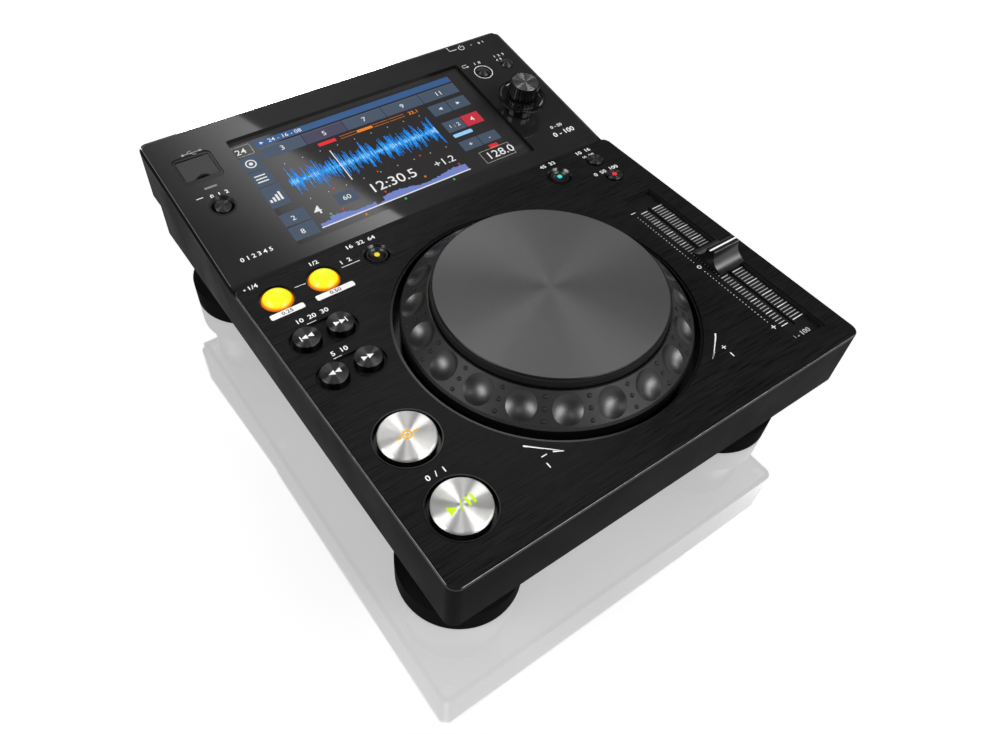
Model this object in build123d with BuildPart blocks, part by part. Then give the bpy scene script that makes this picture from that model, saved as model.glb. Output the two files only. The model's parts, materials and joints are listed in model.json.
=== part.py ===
from build123d import *
from math import cos, radians, sin, tan
import os

# Tabletop media player for disc jockeys: a flat control deck with a jog wheel and a tempo
# fader, a tilted section with a touch display behind it, and four tall round feet.
# Millimetres. +X is the operator's right, +Y points away from the operator, +Z is up.
# The origin is the centre of the footprint, on the table.

os.makedirs("parts", exist_ok=True)

# ------------------------------------------------------------------ body
body_width = 231.0
deck_length = 180.4
panel_run = 107.8
panel_tilt = 9.4
panel_drop = 2.85
deck_height = 78.3
body_wall_height = 32.8
corner_radius = 5.0
wall = 2.5
deck_plate_thickness = 1.5
deck_plate_bevel = 0.6
roof_thickness = 2.0
floor_thickness = 2.0
fit = 0.1
moving_gap = 0.3
running_fit = 0.05

# rear profile
overhang = 15.0
overhang_height = 29.0
panel_border = 1.2
panel_thickness = 2.5
panel_bevel_run = 4.0
panel_bevel_drop = 1.3
rear_edge_round = 1.0

# ------------------------------------------------------------------ feet
foot_from_side = 31.5
foot_from_front = 36.9
foot_from_rear = 32.3
foot_pad_radius = 29.6
foot_pad_height = 14.8
foot_cone_height = 2.5
foot_neck_radius = 25.5
foot_pad_hollow_radius = 20.0
foot_pad_hollow_depth = 1.2
foot_bore_radius = 4.5

# ------------------------------------------------------------------ jog wheel
jog_offset_x = -1.0
jog_rear_lead = 2.0
jog_from_side = 43.1
jog_well_depth = 12.0
jog_well_wall = 1.2
jog_well_floor = 2.0
jog_well_flange = 2.6
jog_well_flange_thickness = 1.6
jog_ring_gap = 4.4
jog_skirt_drop = 5.0
jog_skirt_top = 2.6
jog_cone_width = 12.4
jog_cone_top = 12.2
jog_lip_width = 0.7
jog_web_top = 6.0
jog_web_thickness = 2.0
jog_hub_radius = 10.0
jog_hub_top = 8.0
jog_hub_drop = 6.0
dimple_count = 20
dimple_phase = 4.6
dimple_width = 14.6
dimple_depth = 2.3
spindle_radius = 4.0
bush_wall = 2.0
platter_gap = 1.3
platter_side_height = 4.2
platter_thickness = 2.0
platter_plate_inset = 0.9
platter_plate_thickness = 1.0
platter_press = 0.5
platter_spare = 0.1
touch_switch_thickness = 0.5
touch_switch_width = 5.0
encoder_disc_radius = 24.0
encoder_disc_thickness = 0.5
encoder_slot_count = 24
washer_thickness = 0.5
clip_thickness = 0.8

# ------------------------------------------------------------------ tempo fader
fader_from_right = 20.5
fader_recess_from_front = 11.85
fader_recess_from_seam = 48.65
fader_recess_width = 18.8
fader_recess_depth = 2.5
fader_recess_corner = 1.2
fader_slot_width = 1.4
fader_end_room = 23.9
fader_tray_flange = 2.5
fader_tray_flange_thickness = 1.2
fader_channel_width = 13.0
fader_channel_height = 8.0
fader_channel_wall = 0.8
fader_channel_end = 10.0
fader_blade_thickness = 0.8
fader_blade_width = 4.5
fader_carriage_width = 8.0
fader_carriage_length = 12.0
fader_carriage_height = 4.0
fader_knob_width = 17.4
fader_knob_length = 19.0
fader_knob_top_length = 5.0
fader_knob_height = 9.4
fader_knob_foot = 1.2
fader_knob_clearance = 0.3
fader_socket_depth = 6.0

# ------------------------------------------------------------------ deck controls
cue_from_left = 23.0
cue_from_front = 65.5
play_from_front = 27.0
transport_well_radius = 14.9
transport_well_depth = 3.0
transport_cap_radius = 12.3
transport_cap_height = 2.4
transport_disc_thickness = 1.6
transport_travel = 1.0

pair_pitch = 16.9
track_from_seam = 46.4
search_from_seam = 70.8
pair_recess_margin = 1.7
pair_recess_depth = 1.1
pair_cap_radius = 6.4
pair_cap_height = 2.6

loop_from_seam = 15.8
loop_in_from_left = 15.3
loop_pitch = 24.3
loop_well_radius = 8.6
loop_liner_wall = 0.6
loop_dome_radius = 7.5
loop_dome_height = 3.4
loop_dome_shoulder = -1.0

ring_well_radius = 7.5
ring_cap_radius = 5.2
ring_cap_height = -0.4
ring_cap_rim = 0.5
ring_cap_dish = 1.2
ring_boss_radius = 3.7
ring_boss_foot = 0.7
ring_dish_depth = 1.6
reloop_from_left = 69.7
reloop_from_seam = 14.6
vinyl_from_right = 45.3
vinyl_from_seam = 14.4

small_cap_radius = 4.7
small_cap_height = 1.0
range_from_right = 19.6
range_from_seam = 14.0
master_from_right = 19.5
master_from_seam = 30.0

button_travel = 0.5
button_flange = 1.3
button_flange_thickness = 0.9
button_stem_radius = 1.75
switch_size = 6.0
switch_height = 3.5
switch_bore_depth = 2.8
switch_engagement = 1.4
board_depth = 15.0
board_thickness = 1.6
board_post_radius = 2.5

# ------------------------------------------------------------------ display section
window_from_side = 41.25
window_length = 80.1
window_from_edge = 12.3
window_corner = 1.5
glass_thickness = 1.1
glass_margin = 5.0
lcd_thickness = 5.0
lcd_margin = 3.0
bracket_thickness = 1.0
bracket_flange = 3.5

usb_from_window = 20.5
usb_from_edge = 81.1
usb_recess_width = 21.3
usb_recess_length = 20.6
usb_recess_corner = 3.0
usb_bezel_lip = 0.9
usb_pocket_width = 18.4
usb_pocket_length = 15.2
usb_pocket_depth = 4.0
usb_pocket_shift = 0.8
usb_lid_thickness = 1.4
usb_lid_scoop_radius = 5.2
usb_lid_scoop_reach = 2.2
usb_pin_radius = 0.6
usb_shell_width = 14.5
usb_shell_thickness = 7.2
usb_shell_length = 15.0
usb_mouth_width = 12.5
usb_mouth_thickness = 5.2
usb_mouth_depth = 9.0
usb_tongue_thickness = 1.8

usb_light_from_edge = 66.3
usb_light_width = 6.7
usb_light_length = 1.2
usb_stop_from_edge = 52.7
usb_stop_well_radius = 6.9
usb_stop_cap_radius = 4.5
power_light_from_right = 22.3
power_light_from_edge = 103.8
power_light_radius = 0.6

back_from_window = 11.45
back_from_edge = 79.8
back_cap_radius = 3.85
tag_from_right = 12.0
tag_from_edge = 80.2
tag_cap_radius = 4.0
dome_cap_height = 1.6
panel_dome_shoulder = 0.2

selector_from_window = 11.55
selector_from_edge = 43.7
selector_neck_radius = 8.3
selector_flange_radius = 13.9
selector_flange_height = 9.9
selector_post_radius = 9.1
selector_post_top_radius = 8.3
selector_height = 19.5
selector_clearance = 0.8
selector_knurl_count = 30
selector_knurl_radius = 0.5
selector_push = 0.5
selector_shaft_radius = 3.0
selector_bush_radius = 4.5
selector_bush_length = 7.0
selector_case_size = 12.0
selector_case_height = 6.5

# ------------------------------------------------------------------ rear connectors and inside
rear_panel_thickness = 1.2
rear_panel_margin_x = 14.0
rear_panel_margin_z = 3.0
jack_radius = 4.15
jack_length = 8.0
jack_pitch = 15.0
jack_body_size = 10.0
jack_body_depth = 12.0
jack_hole_radius = 1.7
jack_from_inlet = 22.0
lan_x = -8.0
lan_width = 15.8
lan_height = 12.6
lan_mouth_width = 11.9
lan_mouth_height = 8.4
usb_b_x = -32.0
usb_b_size = 11.6
usb_b_mouth = 8.6
usb_b_tongue = 4.2
port_depth = 16.0
mouth_depth = 12.0
inlet_from_right = 33.5
inlet_width = 25.0
inlet_height = 13.4
inlet_mouth_width = 19.0
inlet_mouth_height = 9.6
inlet_depth = 22.0
inlet_pin_radius = 1.2
inlet_pin_pitch = 8.6
lock_slot_from_left = 45.5
lock_slot_width = 7.0
lock_slot_height = 3.2
power_button_from_left = 25.5
power_button_width = 8.0
power_button_height = 5.0
power_button_proud = 2.0
power_button_travel = 1.5
power_switch_width = 9.0
power_switch_height = 7.0
power_switch_depth = 12.0
power_bore_depth = 4.0

board_side_gap = 1.5
board_well_gap = 1.0
button_board_margin = 9.0
stop_board_half = 11.0
main_board_length = 150.0
main_board_width = 110.0
standoff_height = 4.0
standoff_radius = 2.5
standoff_inset = 6.0
processor_size = 24.0
processor_height = 2.0
memory_width = 14.0
memory_length = 12.0
memory_shift_x = 30.0
memory_shift_y = 22.0
driver_width = 18.0
driver_length = 10.0
driver_shift_x = -34.0
driver_shift_y = -18.0
power_board_length = 80.0
power_board_width = 60.0
power_board_from_inlet = 22.0
power_board_gap = 4.0
transformer_width = 26.0
transformer_length = 22.0
transformer_height = 12.0
capacitor_radius = 7.0
capacitor_shift_x = 26.0
capacitor_shift_y = 12.0
screw_radius = 1.4
screw_head_radius = 2.8
screw_head_height = 1.2
screw_length = 9.0
screw_boss_radius = 3.6
screw_front_inset = 6.0
screw_seam_inset = 5.0
screw_rear_inset = 8.0
screw_boss_bite = 0.6
foot_screw_radius = 1.8
foot_screw_head_radius = 3.6
foot_screw_head_height = 2.0
foot_seat_thickness = 3.0

# ------------------------------------------------------------------ derived frame
front_y = -(deck_length + panel_run) / 2
seam_y = front_y + deck_length
rear_y = seam_y + panel_run
left_x = -body_width / 2
right_x = body_width / 2
deck_z = deck_height
case_top_z = deck_z - deck_plate_thickness
roof_z = case_top_z - roof_thickness
base_z = deck_z - body_wall_height
floor_z = base_z + floor_thickness
panel_front_z = deck_z - panel_drop
panel_rear_z = panel_front_z + panel_run * tan(radians(panel_tilt))
panel_length = panel_run / cos(radians(panel_tilt))
step_y = rear_y - overhang
step_z = panel_rear_z - overhang_height
roof_depth = deck_plate_thickness + roof_thickness
panel_board_depth = panel_thickness + selector_case_height
jog_y = front_y + (deck_length - jog_rear_lead) / 2
jog_opening_radius = body_width / 2 - jog_from_side
jog_ring_radius = jog_opening_radius - jog_ring_gap
jog_cone_inner_radius = jog_ring_radius - jog_cone_width
platter_radius = jog_cone_inner_radius - platter_gap
platter_plate_radius = platter_radius - platter_plate_inset
window_width = body_width - 2 * window_from_side
window_edge_x = window_width / 2
usb_x = -window_edge_x - usb_from_window
selector_x = window_edge_x + selector_from_window
track_from_front = deck_length - track_from_seam
search_from_front = deck_length - search_from_seam
loop_from_front = deck_length - loop_from_seam
reloop_from_front = deck_length - reloop_from_seam
vinyl_from_front = deck_length - vinyl_from_seam
range_from_front = deck_length - range_from_seam
master_from_front = deck_length - master_from_seam
inlet_x = right_x - inlet_from_right
lock_slot_x = left_x + lock_slot_from_left
power_button_x = left_x + power_button_from_left
fader_x = right_x - fader_from_right
fader_recess_length = deck_length - fader_recess_from_front - fader_recess_from_seam
fader_throw = fader_recess_length - fader_end_room
fader_y = front_y + fader_recess_from_front + fader_recess_length / 2

panel_normal = (0, -sin(radians(panel_tilt)), cos(radians(panel_tilt)))
panel_plane = Plane(origin=(0, seam_y, panel_front_z), x_dir=(1, 0, 0), z_dir=panel_normal)


def on_deck(from_left, from_front):
    """Plane on the deck surface, its Z out of the deck."""
    return Plane(origin=(left_x + from_left, front_y + from_front, deck_z))


def on_panel(x, from_edge):
    """Plane on the tilted panel, its Z out of the panel."""
    return Plane(
        origin=panel_plane.from_local_coords((x, from_edge, 0)), x_dir=(1, 0, 0), z_dir=panel_normal
    )


cue_at = on_deck(cue_from_left, cue_from_front)
play_at = on_deck(cue_from_left, play_from_front)
track_back_at = on_deck(cue_from_left - pair_pitch / 2, track_from_front)
track_forward_at = on_deck(cue_from_left + pair_pitch / 2, track_from_front)
search_back_at = on_deck(cue_from_left - pair_pitch / 2, search_from_front)
search_forward_at = on_deck(cue_from_left + pair_pitch / 2, search_from_front)
loop_in_at = on_deck(loop_in_from_left, loop_from_front)
loop_out_at = on_deck(loop_in_from_left + loop_pitch, loop_from_front)
reloop_at = on_deck(reloop_from_left, reloop_from_front)
vinyl_at = on_deck(body_width - vinyl_from_right, vinyl_from_front)
range_at = on_deck(body_width - range_from_right, range_from_front)
master_at = on_deck(body_width - master_from_right, master_from_front)
jog_at = Plane(origin=(jog_offset_x, jog_y, deck_z))
fader_at = Plane(origin=(fader_x, fader_y, deck_z))
usb_at = on_panel(usb_x, usb_from_edge)
usb_light_at = on_panel(usb_x, usb_light_from_edge)
usb_stop_at = on_panel(usb_x, usb_stop_from_edge)
back_at = on_panel(window_edge_x + back_from_window, back_from_edge)
tag_at = on_panel(right_x - tag_from_right, tag_from_edge)
selector_at = on_panel(selector_x, selector_from_edge)
power_light_at = on_panel(right_x - power_light_from_right, power_light_from_edge)
window_at = on_panel(0, window_from_edge + window_length / 2)

pair_recess_radius = pair_cap_radius + pair_recess_margin
pair_recesses = [
    (left_x + cue_from_left, front_y + track_from_front),
    (left_x + cue_from_left, front_y + search_from_front),
]
deck_cap_holes = [
    (track_back_at, pair_cap_radius + moving_gap),
    (track_forward_at, pair_cap_radius + moving_gap),
    (search_back_at, pair_cap_radius + moving_gap),
    (search_forward_at, pair_cap_radius + moving_gap),
    (range_at, small_cap_radius + moving_gap),
    (master_at, small_cap_radius + moving_gap),
]
deck_bezel_holes = [
    (cue_at, transport_well_radius),
    (play_at, transport_well_radius),
    (loop_in_at, loop_well_radius),
    (loop_out_at, loop_well_radius),
    (reloop_at, ring_well_radius),
    (vinyl_at, ring_well_radius),
]
deck_round_holes = deck_cap_holes + deck_bezel_holes + [(jog_at, jog_opening_radius)]


def section_of(surface):
    """Plane through a surface's axis: X is the radius, Y is the height over the surface."""
    return Plane(origin=surface.origin, x_dir=surface.x_dir, z_dir=-surface.y_dir)


def turned(surface, profile):
    """Solid of revolution about the surface's normal from (radius, height) corners."""
    with BuildPart() as solid:
        with BuildSketch(section_of(surface)):
            with BuildLine():
                Polyline(*profile, close=True)
            make_face()
        revolve(axis=Axis(surface.origin, surface.z_dir))
    return solid


def block(surface, width, length, low, high, corner=0.0):
    """Plain block on a surface, centred on its origin, between two heights."""
    with BuildPart() as solid:
        with BuildSketch(surface.offset(low)):
            if corner > 0:
                RectangleRounded(width, length, corner)
            else:
                Rectangle(width, length)
        extrude(amount=high - low)
    return solid


def finish(name, solid):
    """Label a finished piece and write it."""
    piece = solid.part
    piece.label = name
    export_step(piece, f"parts/{name}.step")


def grouped(name, solids):
    """Write several separate solids as one node."""
    group = Compound(label=name, children=[solid.part for solid in solids])
    export_step(group, f"parts/{name}.step")


def stop_and_stem(surface, cap_radius, stop_depth, board_at_depth):
    """Retaining flange under the stop face and the stem that reaches into the switch."""
    flange_radius = cap_radius + button_flange
    flange_low = -stop_depth - button_flange_thickness
    stem_low = -board_at_depth + switch_height - switch_engagement
    profile = [
        (0, stem_low),
        (button_stem_radius, stem_low),
        (button_stem_radius, flange_low),
        (flange_radius, flange_low),
        (flange_radius, -stop_depth),
        (0, -stop_depth),
    ]
    return turned(surface, profile)


def flat_cap(name, surface, cap_radius, top, stop_depth, board_at_depth, edge):
    """Flat round push button with a softened edge."""
    carrier = stop_and_stem(surface, cap_radius, stop_depth, board_at_depth)
    with BuildPart() as cap:
        add(carrier.part)
        with BuildSketch(surface.offset(-stop_depth)):
            Circle(cap_radius)
        extrude(amount=stop_depth + top)
        top_edges = cap.edges().filter_by(GeomType.CIRCLE).sort_by(Axis(surface.origin, surface.z_dir))
        fillet(top_edges[-1], edge)
    finish(name, cap)


def dome_cap(name, surface, cap_radius, top, shoulder, stop_depth, board_at_depth):
    """Round push button with a domed top that springs from a shoulder height."""
    carrier = stop_and_stem(surface, cap_radius, stop_depth, board_at_depth)
    rise = top - shoulder
    with BuildPart() as cap:
        add(carrier.part)
        with BuildSketch(section_of(surface)):
            with BuildLine():
                Line((0, -stop_depth), (cap_radius, -stop_depth))
                Line((cap_radius, -stop_depth), (cap_radius, shoulder))
                dome_radius = (cap_radius**2 + rise**2) / (2 * rise)
                RadiusArc((cap_radius, shoulder), (0, top), -dome_radius)
                Line((0, top), (0, -stop_depth))
            make_face()
        revolve(axis=Axis(surface.origin, surface.z_dir))
    finish(name, cap)


def dished_cap(name, surface, cap_radius, top, stop_depth, board_at_depth):
    """Round push button: a rim, a dished ring inside it and a low boss in the middle."""
    carrier = stop_and_stem(surface, cap_radius, stop_depth, board_at_depth)
    boss_foot = top - ring_boss_foot
    boss_bend = (ring_boss_radius**2 + ring_boss_foot**2) / (2 * ring_boss_foot)
    with BuildPart() as cap:
        add(carrier.part)
        with BuildSketch(section_of(surface)):
            with BuildLine():
                Polyline(
                    (0, top),
                    (0, -stop_depth),
                    (cap_radius, -stop_depth),
                    (cap_radius, top),
                    (cap_radius - ring_cap_rim, top),
                    (ring_boss_radius, top - ring_cap_dish),
                    (ring_boss_radius, boss_foot),
                )
                RadiusArc((ring_boss_radius, boss_foot), (0, top), -boss_bend)
            make_face()
        revolve(axis=Axis(surface.origin, surface.z_dir))
    finish(name, cap)


# ------------------------------------------------------------------ deck case
deck_mid_y = front_y + deck_length / 2
roof_under = deck_z - roof_depth
deck_screw_x = right_x - wall - screw_boss_radius + screw_boss_bite
deck_screw_spots = [
    (-deck_screw_x, front_y + screw_front_inset),
    (deck_screw_x, front_y + screw_front_inset),
    (-deck_screw_x, seam_y - screw_seam_inset),
    (deck_screw_x, seam_y - screw_seam_inset),
]

board_z = deck_z - board_depth
well_left = jog_offset_x - jog_opening_radius - jog_well_flange
strip_left = left_x + wall + board_side_gap
strip_right = well_left - board_well_gap
strip_front = front_y + play_from_front - transport_cap_radius
strip_rear = front_y + loop_from_front + loop_dome_radius
tab_front = jog_y + jog_opening_radius - 2 * board_post_radius
tab_right = left_x + reloop_from_left + ring_cap_radius
right_front = front_y + master_from_front - button_board_margin
right_rear = front_y + vinyl_from_front + ring_cap_radius
right_left = right_x - vinyl_from_right - button_board_margin
right_right = right_x - range_from_right + button_board_margin
between_transport_y = front_y + (cue_from_front + play_from_front) / 2
between_right_x = right_x - (vinyl_from_right + range_from_right) / 2
board_posts = [
    (strip_left + board_post_radius, between_transport_y),
    (strip_right - board_post_radius, between_transport_y),
    (strip_left + board_post_radius, front_y + track_from_front + pair_pitch),
    (left_x + reloop_from_left - ring_well_radius - 2 * board_post_radius, front_y + loop_from_front),
    (right_left + board_post_radius, right_front + board_post_radius),
    (between_right_x, right_rear - board_post_radius),
    (between_right_x + board_post_radius, right_front + board_post_radius),
]

with BuildPart() as deck_case:
    with BuildSketch(Plane.XY.offset(base_z)) as outline:
        with Locations((0, deck_mid_y)):
            Rectangle(body_width, deck_length)
        fillet(outline.vertices().group_by(Axis.Y)[0], corner_radius)
    extrude(amount=case_top_z - base_z)
    with BuildSketch(Plane.XY.offset(base_z)) as hollow:
        with Locations((0, deck_mid_y + wall / 2)):
            Rectangle(body_width - 2 * wall, deck_length - wall)
        fillet(hollow.vertices().group_by(Axis.Y)[0], corner_radius - wall)
    extrude(amount=roof_z - base_z, mode=Mode.SUBTRACT)
    with BuildSketch(Plane.XY.offset(floor_z)):
        with Locations(*deck_screw_spots):
            Circle(screw_boss_radius)
    extrude(amount=roof_z - floor_z)
    with BuildSketch(Plane.XY.offset(floor_z)):
        with Locations(*deck_screw_spots):
            Circle(screw_radius + fit)
    extrude(amount=screw_length, mode=Mode.SUBTRACT)
    with BuildSketch(Plane.XY.offset(board_z)):
        with Locations(*board_posts):
            Circle(board_post_radius)
    extrude(amount=roof_z - board_z)
    for spot, radius in deck_round_holes:
        with BuildSketch(spot):
            Circle(radius)
        extrude(amount=-roof_depth, mode=Mode.SUBTRACT)
    with BuildSketch(Plane.XY.offset(case_top_z)):
        with Locations(*pair_recesses):
            SlotCenterToCenter(pair_pitch, 2 * (pair_recess_radius + deck_plate_thickness))
    extrude(amount=-pair_recess_depth, mode=Mode.SUBTRACT)
    with BuildSketch(fader_at):
        RectangleRounded(fader_recess_width, fader_recess_length, fader_recess_corner)
    extrude(amount=-roof_depth, mode=Mode.SUBTRACT)
finish("deck_case", deck_case)

# ------------------------------------------------------------------ brushed deck plate
with BuildPart() as deck_plate:
    with BuildSketch(Plane.XY.offset(case_top_z)) as outline:
        with Locations((0, deck_mid_y)):
            RectangleRounded(body_width, deck_length, corner_radius)
    extrude(amount=deck_plate_thickness)
    chamfer(deck_plate.faces().sort_by(Axis.Z)[-1].outer_wire().edges(), deck_plate_bevel)
    with BuildSketch(Plane.XY.offset(case_top_z)):
        with Locations(*pair_recesses):
            SlotCenterToCenter(pair_pitch, 2 * (pair_recess_radius + deck_plate_thickness - fit))
    extrude(amount=-pair_recess_depth)
    with BuildSketch(Plane.XY.offset(deck_z)):
        with Locations(*pair_recesses):
            SlotCenterToCenter(pair_pitch, 2 * pair_recess_radius)
    extrude(amount=-pair_recess_depth, mode=Mode.SUBTRACT)
    for spot, radius in deck_round_holes:
        with BuildSketch(spot):
            Circle(radius)
        extrude(amount=-roof_depth, mode=Mode.SUBTRACT)
    with BuildSketch(fader_at):
        RectangleRounded(fader_recess_width, fader_recess_length, fader_recess_corner)
    extrude(amount=-roof_depth, mode=Mode.SUBTRACT)
finish("deck_plate", deck_plate)

# ------------------------------------------------------------------ display housing
slope = tan(radians(panel_tilt))
inner_rear_y = rear_y - wall
fascia_width = body_width - 2 * panel_border
fascia_length = panel_length - panel_border
ledge_depth = 3 * panel_thickness
ledge_width = 3.0
housing_screw_spots = [
    (-deck_screw_x, step_y - screw_rear_inset),
    (deck_screw_x, step_y - screw_rear_inset),
]
rear_opening_width = body_width - 2 * rear_panel_margin_x
rear_opening_height = step_z - base_z - 2 * rear_panel_margin_z
rear_opening_z = (step_z + base_z) / 2

with BuildPart() as display_housing:
    with BuildSketch(Plane.YZ.offset(left_x)):
        with BuildLine():
            Polyline(
                (seam_y, base_z),
                (step_y, base_z),
                (step_y, step_z),
                (rear_y, step_z),
                (rear_y, panel_rear_z),
                (seam_y, panel_front_z),
                close=True,
            )
        make_face()
    extrude(amount=body_width)
    upright = display_housing.edges().filter_by(Axis.Z)
    fillet(upright.filter_by_position(Axis.Y, step_y + wall, rear_y + wall), corner_radius)
    fillet(display_housing.faces().sort_by(Axis.Z)[-1].edges().sort_by(Axis.Y)[-1], rear_edge_round)
    with BuildSketch(Plane.YZ.offset(left_x + wall)):
        with BuildLine():
            Polyline(
                (seam_y, base_z),
                (step_y - wall, base_z),
                (step_y - wall, step_z + wall),
                (inner_rear_y, step_z + wall),
                (inner_rear_y, panel_rear_z),
                (seam_y, panel_front_z + wall),
                close=True,
            )
        make_face()
    extrude(amount=body_width - 2 * wall, mode=Mode.SUBTRACT)
    with BuildSketch(panel_plane.offset(-panel_thickness)):
        with Locations((0, fascia_length / 2)):
            Rectangle(fascia_width, fascia_length)
    extrude(amount=2 * panel_thickness, mode=Mode.SUBTRACT)
    with BuildSketch(panel_plane.offset(-panel_thickness)):
        with Locations((0, ledge_width / 2)):
            Rectangle(body_width - 2 * wall, ledge_width)
    extrude(amount=-ledge_depth)
    with BuildSketch(Plane.XY.offset(floor_z)):
        with Locations(*housing_screw_spots):
            Circle(screw_boss_radius)
    extrude(amount=screw_length + wall)
    with BuildSketch(Plane.XY.offset(floor_z)):
        with Locations(*housing_screw_spots):
            Circle(screw_radius + fit)
    extrude(amount=screw_length, mode=Mode.SUBTRACT)
    with BuildSketch(Plane.XZ.offset(-step_y)):
        with Locations((0, rear_opening_z)):
            RectangleRounded(rear_opening_width, rear_opening_height, rear_panel_margin_z / 2)
    extrude(amount=wall, mode=Mode.SUBTRACT)
finish("display_housing", display_housing)

# ------------------------------------------------------------------ display fascia
panel_cap_holes = [
    (back_at, back_cap_radius + moving_gap),
    (tag_at, tag_cap_radius + moving_gap),
    (selector_at, selector_bush_radius + fit),
    (usb_stop_at, usb_stop_well_radius),
    (power_light_at, power_light_radius),
]

knob_board_low = selector_from_edge - selector_case_size
knob_board_high = tag_from_edge + switch_size
knob_board_left = selector_x - 3 * selector_case_size / 4
knob_board_right = right_x - wall - board_side_gap
stop_post_y = usb_stop_from_edge - stop_board_half + board_post_radius
panel_posts = [
    (usb_x - stop_board_half + board_post_radius, stop_post_y),
    (usb_x + stop_board_half - board_post_radius, stop_post_y),
    (knob_board_right - board_post_radius, knob_board_low + board_post_radius),
    (knob_board_right - board_post_radius, (selector_from_edge + tag_from_edge) / 2),
    (knob_board_left + 2 * board_post_radius, (selector_from_edge + tag_from_edge) / 2),
]

with BuildPart() as display_panel:
    with BuildSketch(panel_plane.offset(-panel_thickness)) as outline:
        with Locations((0, fascia_length / 2)):
            Rectangle(fascia_width - 2 * fit, fascia_length - 2 * fit)
        fillet(outline.vertices().group_by(Axis.Y)[-1], corner_radius - panel_border)
    extrude(amount=panel_thickness)
    front_edge = display_panel.faces().sort_by(Axis(panel_plane.origin, panel_plane.z_dir))[-1]
    front_edge = front_edge.edges().sort_by(Axis.Y)[0]
    chamfer(front_edge, panel_bevel_drop, panel_bevel_run)
    with BuildSketch(panel_plane.offset(-panel_thickness)):
        with Locations(*panel_posts):
            Circle(board_post_radius)
    extrude(amount=-selector_case_height)
    with BuildSketch(window_at):
        RectangleRounded(window_width, window_length, window_corner)
    extrude(amount=-panel_thickness, mode=Mode.SUBTRACT)
    with BuildSketch(usb_at):
        RectangleRounded(usb_recess_width, usb_recess_length, usb_recess_corner)
    extrude(amount=-panel_thickness, mode=Mode.SUBTRACT)
    with BuildSketch(usb_light_at):
        Rectangle(usb_light_width, usb_light_length)
    extrude(amount=-panel_thickness, mode=Mode.SUBTRACT)
    for spot, radius in panel_cap_holes:
        with BuildSketch(spot):
            Circle(radius)
        extrude(amount=-panel_thickness, mode=Mode.SUBTRACT)
finish("display_panel", display_panel)

# ------------------------------------------------------------------ touch glass, display, bracket
glass_width = window_width + 2 * glass_margin
glass_length = window_length + 2 * glass_margin
lcd_top = -panel_thickness - glass_thickness
lcd_low = lcd_top - lcd_thickness
finish(
    "touch_glass",
    block(window_at, glass_width, glass_length, lcd_top, -panel_thickness, window_corner),
)
finish(
    "lcd_module",
    block(window_at, glass_width - 2 * lcd_margin, glass_length - 2 * lcd_margin, lcd_low, lcd_top),
)

with BuildPart() as display_bracket:
    with BuildSketch(window_at.offset(lcd_low)):
        Rectangle(window_width, glass_length + 2 * bracket_thickness + 2 * fit)
    extrude(amount=-bracket_thickness)
    with BuildSketch(window_at.offset(lcd_low - bracket_thickness)):
        with GridLocations(0, glass_length + bracket_thickness + 2 * fit, 1, 2):
            Rectangle(window_width, bracket_thickness)
    extrude(amount=bracket_thickness - lcd_low - panel_thickness)
    with BuildSketch(window_at.offset(-panel_thickness - bracket_thickness)):
        with GridLocations(0, glass_length + bracket_flange + 2 * fit, 1, 2):
            Rectangle(window_width, bracket_flange)
    extrude(amount=bracket_thickness)
    with BuildSketch(window_at.offset(lcd_low)):
        with GridLocations(glass_width / 3, glass_length / 2, 3, 2):
            SlotOverall(glass_width / 5, glass_length / 6)
    extrude(amount=-bracket_thickness, mode=Mode.SUBTRACT)
finish("display_bracket", display_bracket)

# ------------------------------------------------------------------ bottom cover and screws
screw_spots = deck_screw_spots + housing_screw_spots
cover_front_y = front_y + wall
cover_rear_y = step_y - wall
foot_spots = [
    (left_x + foot_from_side, front_y + foot_from_front),
    (right_x - foot_from_side, front_y + foot_from_front),
    (left_x + foot_from_side, rear_y - foot_from_rear),
    (right_x - foot_from_side, rear_y - foot_from_rear),
]

with BuildPart() as bottom_cover:
    with BuildSketch(Plane.XY.offset(base_z)) as outline:
        with Locations((0, (cover_front_y + cover_rear_y) / 2)):
            Rectangle(body_width - 2 * wall, cover_rear_y - cover_front_y)
        fillet(outline.vertices().group_by(Axis.Y)[0], corner_radius - wall)
    extrude(amount=floor_thickness)
    with BuildSketch(Plane.XY.offset(base_z)):
        with Locations(*screw_spots):
            Circle(screw_radius + fit)
    extrude(amount=floor_thickness, mode=Mode.SUBTRACT)
    with BuildSketch(Plane.XY.offset(base_z)):
        with Locations(*screw_spots):
            Circle(screw_head_radius + fit)
    extrude(amount=screw_head_height, mode=Mode.SUBTRACT)
    with BuildSketch(Plane.XY.offset(base_z)):
        with Locations(*foot_spots):
            Circle(foot_screw_radius)
    extrude(amount=floor_thickness, mode=Mode.SUBTRACT)
finish("bottom_cover", bottom_cover)


def screw(spot):
    """Pan head screw driven upwards through the bottom cover."""
    shank_top = floor_thickness + screw_length - 1.0
    profile = [
        (0, 0),
        (screw_head_radius, 0),
        (screw_head_radius, screw_head_height),
        (screw_radius, screw_head_height),
        (screw_radius, shank_top),
        (0, shank_top),
    ]
    return turned(Plane(origin=(*spot, base_z)), profile)


# ------------------------------------------------------------------ feet
cone_low_z = foot_pad_height
cone_high_z = cone_low_z + foot_cone_height


def foot_leg(spot):
    """Moulded leg: a neck under the body that flares out over the rubber pad."""
    rim = foot_pad_radius - fit
    profile = [
        (foot_bore_radius, cone_low_z),
        (rim, cone_low_z),
        (foot_neck_radius, cone_high_z),
        (foot_neck_radius, base_z),
        (foot_screw_radius, base_z),
        (foot_screw_radius, base_z - foot_seat_thickness),
        (foot_bore_radius, base_z - foot_seat_thickness),
    ]
    return turned(Plane(origin=(*spot, 0)), profile)


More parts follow.
